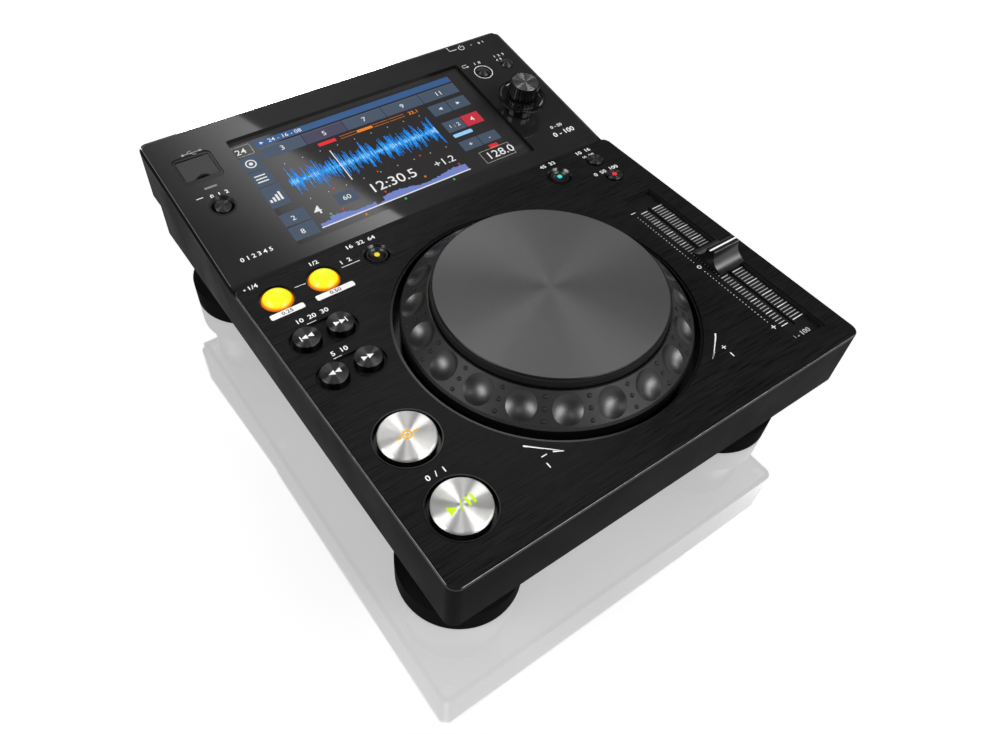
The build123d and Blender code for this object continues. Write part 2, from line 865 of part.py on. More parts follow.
def foot_pad(spot):
    """Rubber pad: a thick ring with a shallow hollow under it."""
    profile = [
        (foot_bore_radius, foot_pad_hollow_depth),
        (foot_pad_hollow_radius, foot_pad_hollow_depth),
        (foot_pad_hollow_radius, 0),
        (foot_pad_radius - foot_pad_hollow_depth, 0),
        (foot_pad_radius, foot_pad_hollow_depth),
        (foot_pad_radius, foot_pad_height),
        (foot_bore_radius, foot_pad_height),
    ]
    return turned(Plane(origin=(*spot, 0)), profile)


def foot_screw(spot):
    """Screw up the bore of a leg into the bottom cover."""
    head_top = base_z - foot_seat_thickness
    profile = [
        (0, head_top - foot_screw_head_height),
        (foot_screw_head_radius, head_top - foot_screw_head_height),
        (foot_screw_head_radius, head_top),
        (foot_screw_radius, head_top),
        (foot_screw_radius, floor_z),
        (0, floor_z),
    ]
    return turned(Plane(origin=(*spot, 0)), profile)


case_screws = [screw(spot) for spot in screw_spots]
foot_screws = [foot_screw(spot) for spot in foot_spots]
grouped("case_screws", case_screws + foot_screws)
grouped("foot_legs", [foot_leg(spot) for spot in foot_spots])
grouped("foot_pads", [foot_pad(spot) for spot in foot_spots])

# ------------------------------------------------------------------ jog well, spindle, washers
well_outer = jog_opening_radius - fit
well_inner = well_outer - jog_well_wall
well_floor = -jog_well_depth
well_under = well_floor - jog_well_floor
well_rim = -deck_plate_bevel
bush_low = -jog_hub_drop
washer_low = bush_low - washer_thickness
boss_radius = jog_hub_radius - bush_wall
clip_low = jog_hub_top + fit
spindle_head = 1.0
sensor_reach = encoder_disc_radius + 3.0

with BuildPart() as jog_well:
    add(
        turned(
            jog_at,
            [
                (spindle_radius, washer_low),
                (boss_radius, washer_low),
                (boss_radius, well_floor),
                (well_inner, well_floor),
                (well_inner, well_rim),
                (well_outer, well_rim),
                (well_outer, -roof_depth),
                (well_outer + jog_well_flange, -roof_depth),
                (well_outer + jog_well_flange, -roof_depth - jog_well_flange_thickness),
                (well_outer, -roof_depth - jog_well_flange_thickness),
                (well_outer, well_under),
                (spindle_radius, well_under),
            ],
        ).part
    )
    with BuildSketch(jog_at.offset(well_floor)):
        with PolarLocations(well_inner / 2, 6, start_angle=30):
            Circle(well_inner / 8)
    extrude(amount=-jog_well_floor, mode=Mode.SUBTRACT)
finish("jog_well", jog_well)

finish(
    "jog_spindle",
    turned(
        jog_at,
        [
            (0, well_under - spindle_head),
            (boss_radius, well_under - spindle_head),
            (boss_radius, well_under),
            (spindle_radius, well_under),
            (spindle_radius, clip_low + clip_thickness + spindle_head),
            (0, clip_low + clip_thickness + spindle_head),
        ],
    ),
)


def ring_washer(low, high, inner, outer):
    """Flat washer on the spindle."""
    return turned(jog_at, [(inner, low), (outer, low), (outer, high), (inner, high)])


grouped(
    "jog_washers",
    [
        ring_washer(washer_low, bush_low, spindle_radius, boss_radius),
        ring_washer(clip_low, clip_low + clip_thickness, spindle_radius, boss_radius),
    ],
)

# ------------------------------------------------------------------ jog ring with finger dimples
cone_rise = jog_cone_top - jog_skirt_top
cone_run = jog_ring_radius - jog_cone_inner_radius
cone_slant = (cone_rise**2 + cone_run**2) ** 0.5
dimple_mid_radius = jog_cone_inner_radius + cone_run / 2
dimple_mid_height = jog_skirt_top + cone_rise / 2
dimple_sphere = ((dimple_width / 2) ** 2 + dimple_depth**2) / (2 * dimple_depth)
dimple_lift = dimple_sphere - dimple_depth
dimple_centre_radius = dimple_mid_radius + dimple_lift * cone_rise / cone_slant
dimple_centre_height = dimple_mid_height + dimple_lift * cone_run / cone_slant
lip_inner = jog_cone_inner_radius - jog_lip_width
web_under = jog_web_top - jog_web_thickness
skirt_inner = jog_ring_radius - wall
hub_bore = spindle_radius + running_fit + bush_wall
shoulder_radius = jog_hub_radius + wall
disc_top = -jog_hub_drop / 2
hub_corner = 1.5

with BuildPart() as jog_ring:
    with BuildSketch(section_of(jog_at)):
        with BuildLine():
            Polyline(
                (hub_bore, bush_low),
                (jog_hub_radius, bush_low),
                (jog_hub_radius, disc_top),
                (shoulder_radius, disc_top),
                (shoulder_radius, web_under),
                (lip_inner - wall, web_under),
                (skirt_inner - wall, -hub_corner),
                (skirt_inner, -jog_skirt_drop),
                (jog_ring_radius, -jog_skirt_drop),
                (jog_ring_radius, jog_skirt_top - hub_corner),
                (jog_ring_radius - hub_corner / 2, jog_skirt_top),
                (jog_cone_inner_radius, jog_cone_top),
                (lip_inner, jog_cone_top),
                (lip_inner, jog_web_top),
                (jog_hub_radius, jog_web_top),
                (jog_hub_radius, jog_hub_top),
                (hub_bore, jog_hub_top),
                close=True,
            )
        make_face()
    revolve(axis=Axis(jog_at.origin, jog_at.z_dir))
    with Locations(jog_at.offset(dimple_centre_height)):
        with PolarLocations(dimple_centre_radius, dimple_count, start_angle=dimple_phase):
            Sphere(dimple_sphere, mode=Mode.SUBTRACT)
finish("jog_ring", jog_ring)

finish("jog_bush", turned(
    jog_at,
    [
        (spindle_radius + running_fit, bush_low),
        (hub_bore, bush_low),
        (hub_bore, jog_hub_top),
        (spindle_radius + running_fit, jog_hub_top),
    ],
))

# slotted disc that the speed sensor reads
with BuildPart() as encoder_disc:
    with BuildSketch(jog_at.offset(disc_top)):
        Circle(encoder_disc_radius)
        Circle(jog_hub_radius, mode=Mode.SUBTRACT)
        with PolarLocations(encoder_disc_radius - wall, encoder_slot_count):
            Rectangle(wall, encoder_disc_thickness, mode=Mode.SUBTRACT)
    extrude(amount=-encoder_disc_thickness)
finish("encoder_disc", encoder_disc)

sensor_gap = 1.0
sensor_arm = 1.3
sensor_width = 8.0
with BuildPart() as jog_sensor:
    with BuildSketch(jog_at.offset(well_floor)):
        with Locations((sensor_reach - wall, 0)):
            Rectangle(2 * wall + sensor_width / 2, sensor_width)
    extrude(amount=disc_top + sensor_gap + sensor_arm - well_floor)
    with BuildSketch(jog_at.offset(disc_top - encoder_disc_thickness - sensor_gap)):
        with Locations((encoder_disc_radius / 2 + sensor_gap / 2, 0)):
            Rectangle(encoder_disc_radius + sensor_gap, sensor_width)
    extrude(amount=encoder_disc_thickness + 2 * sensor_gap, mode=Mode.SUBTRACT)
finish("jog_sensor", jog_sensor)

# membrane switch that feels the platter being pressed
switch_outer = lip_inner - wall
finish("touch_switch", turned(
    jog_at,
    [
        (switch_outer - touch_switch_width, jog_web_top),
        (switch_outer, jog_web_top),
        (switch_outer, jog_web_top + touch_switch_thickness),
        (switch_outer - touch_switch_width, jog_web_top + touch_switch_thickness),
    ],
))

# ------------------------------------------------------------------ platter
platter_low = jog_web_top + touch_switch_thickness + platter_press + platter_spare
platter_top = jog_cone_top + platter_side_height
platter_under = platter_top - platter_thickness
guide_inner = jog_hub_radius + running_fit
guide_low = jog_web_top + platter_press + platter_spare
with BuildPart() as jog_platter:
    add(
        turned(
            jog_at,
            [
                (0, platter_top),
                (platter_radius, platter_top),
                (platter_radius, platter_low),
                (switch_outer - touch_switch_width, platter_low),
                (switch_outer - touch_switch_width, platter_under),
                (guide_inner + wall, platter_under),
                (guide_inner + wall, guide_low),
                (guide_inner, guide_low),
                (guide_inner, platter_under),
                (0, platter_under),
            ],
        ).part
    )
finish("jog_platter", jog_platter)

platter_edge = 0.4
with BuildPart() as platter_plate:
    with BuildSketch(jog_at.offset(platter_top)):
        Circle(platter_plate_radius)
    extrude(amount=platter_plate_thickness)
    chamfer(platter_plate.faces().sort_by(Axis.Z)[-1].edges(), platter_edge)
finish("platter_plate", platter_plate)

# ------------------------------------------------------------------ tempo fader
slot_length = fader_throw + fader_blade_width + 2 * moving_gap
tray_width = fader_recess_width - 2 * fit
tray_length = fader_recess_length - 2 * fit
tray_under = -roof_depth - fader_tray_flange_thickness
tray_wall = 0.8

with BuildPart() as fader_tray:
    with BuildSketch(fader_at.offset(tray_under)):
        Rectangle(fader_recess_width + 2 * fader_tray_flange, fader_recess_length + 2 * fader_tray_flange)
    extrude(amount=fader_tray_flange_thickness)
    with BuildSketch(fader_at.offset(-roof_depth)):
        RectangleRounded(tray_width, tray_length, fader_recess_corner)
    extrude(amount=roof_depth - deck_plate_bevel)
    with BuildSketch(fader_at.offset(-fader_recess_depth)):
        RectangleRounded(tray_width - 2 * tray_wall, tray_length - 2 * tray_wall, fader_recess_corner / 2)
    extrude(amount=fader_recess_depth, mode=Mode.SUBTRACT)
    with BuildSketch(fader_at.offset(-fader_recess_depth)):
        SlotOverall(slot_length, fader_slot_width, rotation=90)
    extrude(amount=tray_under + fader_recess_depth, mode=Mode.SUBTRACT)
finish("fader_tray", fader_tray)

channel_length = slot_length + 2 * fader_channel_end
channel_low = tray_under - fader_channel_height
with BuildPart() as fader_channel:
    with BuildSketch(fader_at.offset(channel_low)):
        Rectangle(fader_channel_width, channel_length)
    extrude(amount=fader_channel_height)
    with BuildSketch(fader_at.offset(channel_low + fader_channel_wall)):
        Rectangle(fader_channel_width - 2 * fader_channel_wall, channel_length - 2 * fader_channel_wall)
    extrude(amount=fader_channel_height - 2 * fader_channel_wall, mode=Mode.SUBTRACT)
    with BuildSketch(fader_at.offset(tray_under)):
        Rectangle(fader_slot_width, slot_length)
    extrude(amount=-fader_channel_wall, mode=Mode.SUBTRACT)
finish("fader_channel", fader_channel)

carriage_low = channel_low + fader_channel_wall + running_fit
blade_top = fader_knob_clearance + fader_socket_depth
with BuildPart() as fader_lever:
    with BuildSketch(fader_at.offset(carriage_low)):
        Rectangle(fader_carriage_width, fader_carriage_length)
    extrude(amount=fader_carriage_height)
    with BuildSketch(fader_at.offset(carriage_low)):
        Rectangle(fader_blade_thickness, fader_blade_width)
    extrude(amount=blade_top - carriage_low)
finish("fader_lever", fader_lever)

# saddle-shaped knob: both long sides sweep up in a hollow curve to a narrow top
knob_low = fader_knob_clearance
knob_top = fader_knob_clearance + fader_knob_height
half_base = fader_knob_length / 2
half_top = fader_knob_top_length / 2
with BuildPart() as fader_knob:
    side = Plane(origin=fader_at.origin, x_dir=(0, 1, 0), z_dir=(1, 0, 0))
    with BuildSketch(side.offset(-fader_knob_width / 2)):
        with BuildLine():
            sweep_run = half_base - half_top
            sweep_rise = fader_knob_height - fader_knob_foot
            mid = (half_top + 0.28 * sweep_run, knob_low + fader_knob_foot + 0.28 * sweep_rise)
            Line((-half_base, knob_low), (half_base, knob_low))
            Line((half_base, knob_low), (half_base, knob_low + fader_knob_foot))
            ThreePointArc((half_base, knob_low + fader_knob_foot), mid, (half_top, knob_top))
            Line((half_top, knob_top), (-half_top, knob_top))
            foot_rear = (-half_base, knob_low + fader_knob_foot)
            ThreePointArc((-half_top, knob_top), (-mid[0], mid[1]), foot_rear)
            Line(foot_rear, (-half_base, knob_low))
        make_face()
    extrude(amount=fader_knob_width)
    fillet(fader_knob.edges().filter_by(Axis.X).group_by(Axis.Z)[-1], 0.5)
    with BuildSketch(fader_at.offset(knob_low)):
        Rectangle(fader_blade_thickness, fader_blade_width)
    extrude(amount=fader_socket_depth, mode=Mode.SUBTRACT)
finish("fader_knob", fader_knob)

# ------------------------------------------------------------------ button bezels
bezel_flange = 1.5
bezel_flange_thickness = 1.0
bezel_lip = 0.5
transport_stop = transport_well_depth + 1.5
ring_stop = roof_depth + bezel_flange_thickness
panel_stop = panel_thickness + bezel_flange_thickness


def transport_bezel(surface):
    """Black well around a transport button."""
    outer = transport_well_radius - fit
    hole = transport_cap_radius + moving_gap
    profile = [
        (hole, -transport_stop),
        (outer + bezel_flange, -transport_stop),
        (outer + bezel_flange, -roof_depth),
        (outer, -roof_depth),
        (outer, bezel_lip / 2),
        (outer - bezel_lip, bezel_lip / 2),
        (outer - 2 * bezel_lip, -transport_well_depth),
        (hole, -transport_well_depth),
    ]
    return turned(surface, profile)


def loop_liner(surface):
    """Dark tube around a glowing dome."""
    outer = loop_well_radius - fit
    inner = loop_dome_radius + moving_gap
    profile = [
        (inner, -ring_stop),
        (outer + bezel_flange, -ring_stop),
        (outer + bezel_flange, -roof_depth),
        (outer, -roof_depth),
        (outer, -deck_plate_bevel),
        (outer - loop_liner_wall, -deck_plate_bevel),
        (inner, -roof_depth),
    ]
    return turned(surface, profile)


def dished_ring(surface, well_radius, cap_radius, thickness):
    """Bezel whose inner face slopes down to a small button."""
    outer = well_radius - fit
    hole = cap_radius + moving_gap
    stop = thickness + bezel_flange_thickness
    profile = [
        (hole, -stop),
        (outer + bezel_flange, -stop),
        (outer + bezel_flange, -thickness),
        (outer, -thickness),
        (outer, bezel_lip / 2),
        (outer - bezel_lip, bezel_lip / 2),
        (hole, -ring_dish_depth),
    ]
    return turned(surface, profile)


usb_bezel_outer_width = usb_recess_width - 2 * fit
usb_bezel_outer_length = usb_recess_length - 2 * fit
usb_flange_width = usb_bezel_outer_width + 2 * bezel_flange
usb_flange_length = usb_bezel_outer_length + 2 * bezel_flange
usb_bezel_low = -panel_thickness - usb_pocket_depth
pocket_at = on_panel(usb_x, usb_from_edge + usb_pocket_shift)
hinge_edge = usb_pocket_length / 2
hinge_depth = usb_lid_thickness / 2 + running_fit
pin_reach = 1.0

with BuildPart() as usb_bezel:
    with BuildSketch(usb_at.offset(usb_bezel_low)):
        RectangleRounded(usb_bezel_outer_width, usb_bezel_outer_length, usb_recess_corner)
    extrude(amount=-usb_bezel_low - bezel_lip)
    with BuildSketch(usb_at.offset(-panel_thickness)):
        RectangleRounded(usb_flange_width, usb_flange_length, usb_recess_corner)
    extrude(amount=-bezel_flange_thickness)
    with BuildSketch(pocket_at.offset(-usb_pocket_depth)):
        RectangleRounded(usb_pocket_width, usb_pocket_length, usb_bezel_lip)
    extrude(amount=usb_pocket_depth, mode=Mode.SUBTRACT)
    with BuildSketch(pocket_at.offset(-usb_pocket_depth)):
        Rectangle(usb_shell_width + 2 * fit, usb_shell_thickness + 2 * fit)
    extrude(amount=usb_bezel_low + usb_pocket_depth, mode=Mode.SUBTRACT)
    hinge_spot = (0, hinge_edge - hinge_depth - moving_gap, -hinge_depth - bezel_lip)
    hinge_line = Plane(
        origin=pocket_at.from_local_coords(hinge_spot),
        x_dir=(0, 1, 0),
        z_dir=(1, 0, 0),
    )
    with BuildSketch(hinge_line.offset(-usb_pocket_width / 2 - pin_reach - fit)):
        Circle(usb_pin_radius + running_fit)
    extrude(amount=usb_pocket_width + 2 * pin_reach + 2 * fit, mode=Mode.SUBTRACT)

grouped(
    "button_bezels",
    [
        transport_bezel(cue_at),
        transport_bezel(play_at),
        loop_liner(loop_in_at),
        loop_liner(loop_out_at),
        dished_ring(reloop_at, ring_well_radius, ring_cap_radius, roof_depth),
        dished_ring(vinyl_at, ring_well_radius, ring_cap_radius, roof_depth),
        dished_ring(usb_stop_at, usb_stop_well_radius, usb_stop_cap_radius, panel_thickness),
        usb_bezel,
    ],
)

# ------------------------------------------------------------------ USB lid and socket
lid_width = usb_pocket_width - 2 * moving_gap
lid_front = -usb_pocket_length / 2 + moving_gap
lid_rear = hinge_edge - moving_gap
lid_length = lid_rear - lid_front
lid_top = -bezel_lip - running_fit
with BuildPart() as usb_lid:
    with BuildSketch(pocket_at.offset(lid_top - usb_lid_thickness)):
        with Locations((0, (lid_front + lid_rear) / 2)):
            Rectangle(lid_width, lid_length)
    extrude(amount=usb_lid_thickness)
    rear_edges = usb_lid.edges().filter_by(Axis.X).sort_by(Axis(pocket_at.origin, pocket_at.y_dir))
    fillet(rear_edges[-2:], usb_lid_thickness / 2 - fit)
    with BuildSketch(pocket_at.offset(lid_top)):
        with Locations((0, lid_front - usb_lid_scoop_radius + usb_lid_scoop_reach)):
            Circle(usb_lid_scoop_radius)
    extrude(amount=-usb_lid_thickness, mode=Mode.SUBTRACT)
    with BuildSketch(hinge_line.offset(-usb_pocket_width / 2 - pin_reach)):
        Circle(usb_pin_radius)
    extrude(amount=usb_pocket_width + 2 * pin_reach)
finish("usb_lid", usb_lid)

with BuildPart() as usb_port:
    with BuildSketch(pocket_at.offset(-usb_pocket_depth)):
        Rectangle(usb_shell_width, usb_shell_thickness)
    extrude(amount=-usb_shell_length)
    with BuildSketch(pocket_at.offset(-usb_pocket_depth)):
        Rectangle(usb_mouth_width, usb_mouth_thickness)
    extrude(amount=-usb_mouth_depth, mode=Mode.SUBTRACT)
    with BuildSketch(pocket_at.offset(-usb_pocket_depth - usb_mouth_depth)):
        with Locations((0, usb_mouth_thickness / 2 - usb_tongue_thickness)):
            Rectangle(usb_mouth_width - 1, usb_tongue_thickness)
    extrude(amount=usb_mouth_depth - 1)
finish("usb_port", usb_port)

# ------------------------------------------------------------------ light pipes
light_depth = panel_thickness + 1.0
usb_pipe = block(usb_light_at, usb_light_width, usb_light_length, -light_depth, 0)
power_pipe = turned(
    power_light_at,
    [(0, -light_depth), (power_light_radius, -light_depth), (power_light_radius, 0), (0, 0)],
)
grouped("light_pipes", [usb_pipe, power_pipe])

# ------------------------------------------------------------------ push buttons
soft_edge = 0.6
pair_cap = (pair_cap_radius, pair_cap_height, roof_depth, board_depth, soft_edge)
flat_cap("track_back_button", track_back_at, *pair_cap)
flat_cap("track_forward_button", track_forward_at, *pair_cap)
flat_cap("search_back_button", search_back_at, *pair_cap)
flat_cap("search_forward_button", search_forward_at, *pair_cap)
small_cap = (small_cap_radius, small_cap_height, roof_depth, board_depth, soft_edge)
flat_cap("range_button", range_at, *small_cap)
flat_cap("master_button", master_at, *small_cap)
ring_cap = (ring_cap_radius, ring_cap_height, ring_stop, board_depth)
dished_cap("reloop_button", reloop_at, *ring_cap)
dished_cap("vinyl_button", vinyl_at, *ring_cap)
stop_cap = (usb_stop_cap_radius, -soft_edge, panel_stop, panel_board_depth, soft_edge)
flat_cap("usb_stop_button", usb_stop_at, *stop_cap)
loop_dome = (loop_dome_radius, loop_dome_height, loop_dome_shoulder, ring_stop, board_depth)
dome_cap("loop_in_button", loop_in_at, *loop_dome)
dome_cap("loop_out_button", loop_out_at, *loop_dome)
panel_dome = (dome_cap_height, panel_dome_shoulder, panel_thickness, panel_board_depth)
dome_cap("back_button", back_at, back_cap_radius, *panel_dome)
dome_cap("tag_button", tag_at, tag_cap_radius, *panel_dome)

carrier_top = transport_cap_height - transport_disc_thickness


def transport_button(name, surface):
    """Black carrier of a transport button, under its spun metal disc."""
    base = stop_and_stem(surface, transport_cap_radius, transport_stop, board_depth)
    with BuildPart() as carrier:
        add(base.part)
        with BuildSketch(surface.offset(-transport_stop)):
            Circle(transport_cap_radius)
        extrude(amount=transport_stop + carrier_top)
    finish(name, carrier)


def transport_disc(name, surface):
    """Spun metal disc with a rounded rim."""
    with BuildPart() as disc:
        with BuildSketch(surface.offset(carrier_top)):
            Circle(transport_cap_radius)
        extrude(amount=transport_disc_thickness)
        fillet(disc.faces().sort_by(Axis.Z)[-1].edges(), transport_disc_thickness / 2)
    finish(name, disc)


transport_button("cue_button", cue_at)
transport_disc("cue_disc", cue_at)
transport_button("play_button", play_at)
transport_disc("play_disc", play_at)

# ------------------------------------------------------------------ switches and boards
deck_switches = [
    cue_at,
    play_at,
    track_back_at,
    track_forward_at,
    search_back_at,
    search_forward_at,
    loop_in_at,
    loop_out_at,
    reloop_at,
    vinyl_at,
    range_at,
    master_at,
]
panel_switches = [usb_stop_at, back_at, tag_at]


def tact_switch(surface, depth):
    """Switch case with a bore for the button's stem."""
    with BuildPart() as case:
        with BuildSketch(surface.offset(-depth)):
            Rectangle(switch_size, switch_size)
        extrude(amount=switch_height)
        with BuildSketch(surface.offset(-depth + switch_height)):
            Circle(button_stem_radius + running_fit)
        extrude(amount=-switch_bore_depth, mode=Mode.SUBTRACT)
    return case


deck_cases = [tact_switch(spot, board_depth) for spot in deck_switches]
panel_cases = [tact_switch(spot, panel_board_depth) for spot in panel_switches]

with BuildPart() as left_board:
    with BuildSketch(Plane.XY.offset(board_z)):
        with Locations(((strip_left + strip_right) / 2, (strip_front + strip_rear) / 2)):
            Rectangle(strip_right - strip_left, strip_rear - strip_front)
        with Locations(((strip_left + tab_right) / 2, (tab_front + strip_rear) / 2)):
            Rectangle(tab_right - strip_left, strip_rear - tab_front)
    extrude(amount=-board_thickness)

with BuildPart() as right_board:
    with BuildSketch(Plane.XY.offset(board_z)):
        with Locations(((right_left + right_right) / 2, (right_front + right_rear) / 2)):
            Rectangle(right_right - right_left, right_rear - right_front)
    extrude(amount=-board_thickness)

grouped("deck_boards", [left_board, right_board])

# ------------------------------------------------------------------ selector
case_top = -panel_thickness
rotor_radius = selector_case_size / 2 - 1.2
rotor_height = 3.0
rotor_low = case_top - selector_case_height + 1.5
shaft_low = case_top - selector_case_height + 0.8 + selector_push
shaft_top = selector_clearance + 10.0
bush_top = case_top + selector_bush_length

with BuildPart() as selector_encoder:
    with BuildSketch(selector_at.offset(case_top - selector_case_height)):
        Rectangle(selector_case_size, selector_case_size)
    extrude(amount=selector_case_height)
    with BuildSketch(selector_at.offset(case_top)):
        Circle(selector_bush_radius)
    extrude(amount=selector_bush_length)
    with BuildSketch(selector_at.offset(bush_top)):
        Circle(selector_shaft_radius + running_fit)
    extrude(amount=shaft_low - selector_push - bush_top, mode=Mode.SUBTRACT)
    with BuildSketch(selector_at.offset(rotor_low)):
        Circle(rotor_radius + running_fit)
    extrude(amount=rotor_height + running_fit, mode=Mode.SUBTRACT)
finish("selector_encoder", selector_encoder)

finish("selector_rotor", turned(
    selector_at,
    [
        (selector_shaft_radius + running_fit, rotor_low),
        (rotor_radius, rotor_low),
        (rotor_radius, rotor_low + rotor_height),
        (selector_shaft_radius + running_fit, rotor_low + rotor_height),
    ],
))
finish("selector_shaft", turned(
    selector_at,
    [
        (0, shaft_low),
        (selector_shaft_radius, shaft_low),
        (selector_shaft_radius, shaft_top),
        (0, shaft_top),
    ],
))

# knob: a neck that flares into a dished flange, with a knurled post in its middle
dish_radius = selector_post_radius + 1.2
flange_edge = 0.9
flange_rim = selector_flange_radius - 1
post_low = selector_flange_height - 1.4
well_top = bush_top + selector_push + 0.6
well_radius = selector_bush_radius + 1
neck_top = selector_flange_height / 2
flare_low = selector_flange_height - flange_edge
with BuildPart() as selector_knob:
    with BuildSketch(section_of(selector_at)):
        with BuildLine():
            Polyline(
                (0, post_low),
                (0, well_top),
                (well_radius, well_top),
                (well_radius, selector_clearance),
                (selector_neck_radius, selector_clearance),
                (selector_neck_radius, neck_top),
            )
            ThreePointArc(
                (selector_neck_radius, neck_top),
                (selector_neck_radius + 1.9, selector_flange_height - 2.4),
                (selector_flange_radius, flare_low),
            )
            Polyline(
                (selector_flange_radius, flare_low),
                (selector_flange_radius, selector_flange_height),
                (flange_rim, selector_flange_height),
            )
            ThreePointArc(
                (flange_rim, selector_flange_height),
                ((flange_rim + dish_radius) / 2, post_low + 0.3),
                (dish_radius, post_low),
            )
            Line((dish_radius, post_low), (0, post_low))
        make_face()
    revolve(axis=Axis(selector_at.origin, selector_at.z_dir))
    with BuildSketch(selector_at.offset(post_low)):
        Circle(selector_post_radius)
        with PolarLocations(selector_post_radius, selector_knurl_count):
            Circle(selector_knurl_radius, mode=Mode.SUBTRACT)
    with BuildSketch(selector_at.offset(selector_height)):
        Circle(selector_post_top_radius)
        with PolarLocations(selector_post_top_radius, selector_knurl_count):
            Circle(selector_knurl_radius, mode=Mode.SUBTRACT)
    loft(ruled=True)
    with BuildSketch(selector_at.offset(well_top)):
        Circle(selector_shaft_radius)
    extrude(amount=shaft_top - well_top, mode=Mode.SUBTRACT)
finish("selector_knob", selector_knob)

# boards under the tilted panel
with BuildPart() as stop_board:
    with BuildSketch(usb_stop_at.offset(-panel_board_depth)):
        Rectangle(2 * stop_board_half, 2 * stop_board_half)
    extrude(amount=-board_thickness)
with BuildPart() as knob_board:
    with BuildSketch(panel_plane.offset(-panel_board_depth)):
        with Locations(((knob_board_left + knob_board_right) / 2, (knob_board_low + knob_board_high) / 2)):
            Rectangle(knob_board_right - knob_board_left, knob_board_high - knob_board_low)
    extrude(amount=-board_thickness)
grouped("panel_boards", [stop_board, knob_board])

# ------------------------------------------------------------------ rear panel and connectors
panel_face_y = step_y - wall
rear_panel_height = rear_opening_height + 2 * (rear_panel_margin_z - floor_thickness)
port_z = rear_opening_z
jack_spots = [inlet_x - jack_from_inlet - index * jack_pitch for index in range(3)]


def rear_spot(x):
    """Plane on the rear panel's outer face, its Z pointing out of the back."""
    return Plane(origin=(x, panel_face_y, port_z), x_dir=(-1, 0, 0), z_dir=(0, 1, 0))


with BuildPart() as rear_panel:
    with BuildSketch(rear_spot(0)):
        Rectangle(rear_opening_width + 2 * wall, rear_panel_height)
    extrude(amount=-rear_panel_thickness)
    for x in jack_spots:
        with BuildSketch(rear_spot(x)):
            Circle(jack_radius + 1)
        extrude(amount=-rear_panel_thickness, mode=Mode.SUBTRACT)
    with BuildSketch(rear_spot(lan_x)):
        Rectangle(lan_mouth_width, lan_mouth_height)
    extrude(amount=-rear_panel_thickness, mode=Mode.SUBTRACT)
    with BuildSketch(rear_spot(usb_b_x)):
        Rectangle(usb_b_mouth, usb_b_mouth)
    extrude(amount=-rear_panel_thickness, mode=Mode.SUBTRACT)
    with BuildSketch(rear_spot(inlet_x)):
        RectangleRounded(inlet_mouth_width, inlet_mouth_height, inlet_mouth_height / 3)
    extrude(amount=-rear_panel_thickness, mode=Mode.SUBTRACT)
    with BuildSketch(rear_spot(lock_slot_x)):
        RectangleRounded(lock_slot_width, lock_slot_height, 0.8)
    extrude(amount=-rear_panel_thickness, mode=Mode.SUBTRACT)
    with BuildSketch(rear_spot(power_button_x)):
        Rectangle(power_button_width + 2 * moving_gap, power_button_height + 2 * moving_gap)
    extrude(amount=-rear_panel_thickness, mode=Mode.SUBTRACT)
finish("rear_panel", rear_panel)


def jack(x):
    """Phono jack: a threaded-look sleeve on a square body behind the panel."""
    with BuildPart() as solid:
        with BuildSketch(rear_spot(x).offset(-rear_panel_thickness)):
            Rectangle(jack_body_size, jack_body_size)
        extrude(amount=-jack_body_depth)
        with BuildSketch(rear_spot(x).offset(-rear_panel_thickness)):
            Circle(jack_radius)
        extrude(amount=rear_panel_thickness + jack_length)
        with BuildSketch(rear_spot(x).offset(jack_length)):
            Circle(jack_hole_radius)
        extrude(amount=-jack_length, mode=Mode.SUBTRACT)
    return solid


grouped("audio_jacks", [jack(x) for x in jack_spots])


def port(x, width, height, mouth_width, mouth_height, depth):
    """Socket body behind the panel with an open mouth."""
    with BuildPart() as solid:
        with BuildSketch(rear_spot(x).offset(-rear_panel_thickness)):
            Rectangle(width, height)
        extrude(amount=-depth)
        with BuildSketch(rear_spot(x).offset(-rear_panel_thickness)):
            Rectangle(mouth_width, mouth_height)
        extrude(amount=-mouth_depth, mode=Mode.SUBTRACT)
    return solid


lan_port = port(lan_x, lan_width, lan_height, lan_mouth_width, lan_mouth_height, port_depth)

usb_b_shell = port(usb_b_x, usb_b_size, usb_b_size, usb_b_mouth, usb_b_mouth, port_depth)
with BuildPart() as usb_b_port:
    add(usb_b_shell.part)
    with BuildSketch(rear_spot(usb_b_x).offset(-rear_panel_thickness - mouth_depth)):
        Rectangle(usb_b_tongue, usb_b_tongue - 1)
    extrude(amount=mouth_depth - 2)
grouped("data_ports", [lan_port, usb_b_port])

with BuildPart() as ac_inlet:
    with BuildSketch(rear_spot(inlet_x).offset(-rear_panel_thickness)):
        Rectangle(inlet_width, inlet_height)
    extrude(amount=-inlet_depth)
    with BuildSketch(rear_spot(inlet_x).offset(-rear_panel_thickness)):
        RectangleRounded(inlet_mouth_width, inlet_mouth_height, inlet_mouth_height / 3)
    extrude(amount=-mouth_depth, mode=Mode.SUBTRACT)
    with BuildSketch(rear_spot(inlet_x).offset(-rear_panel_thickness - mouth_depth)):
        with GridLocations(inlet_pin_pitch, 0, 2, 1):
            Circle(inlet_pin_radius)
    extrude(amount=mouth_depth - 2)
finish("ac_inlet", ac_inlet)

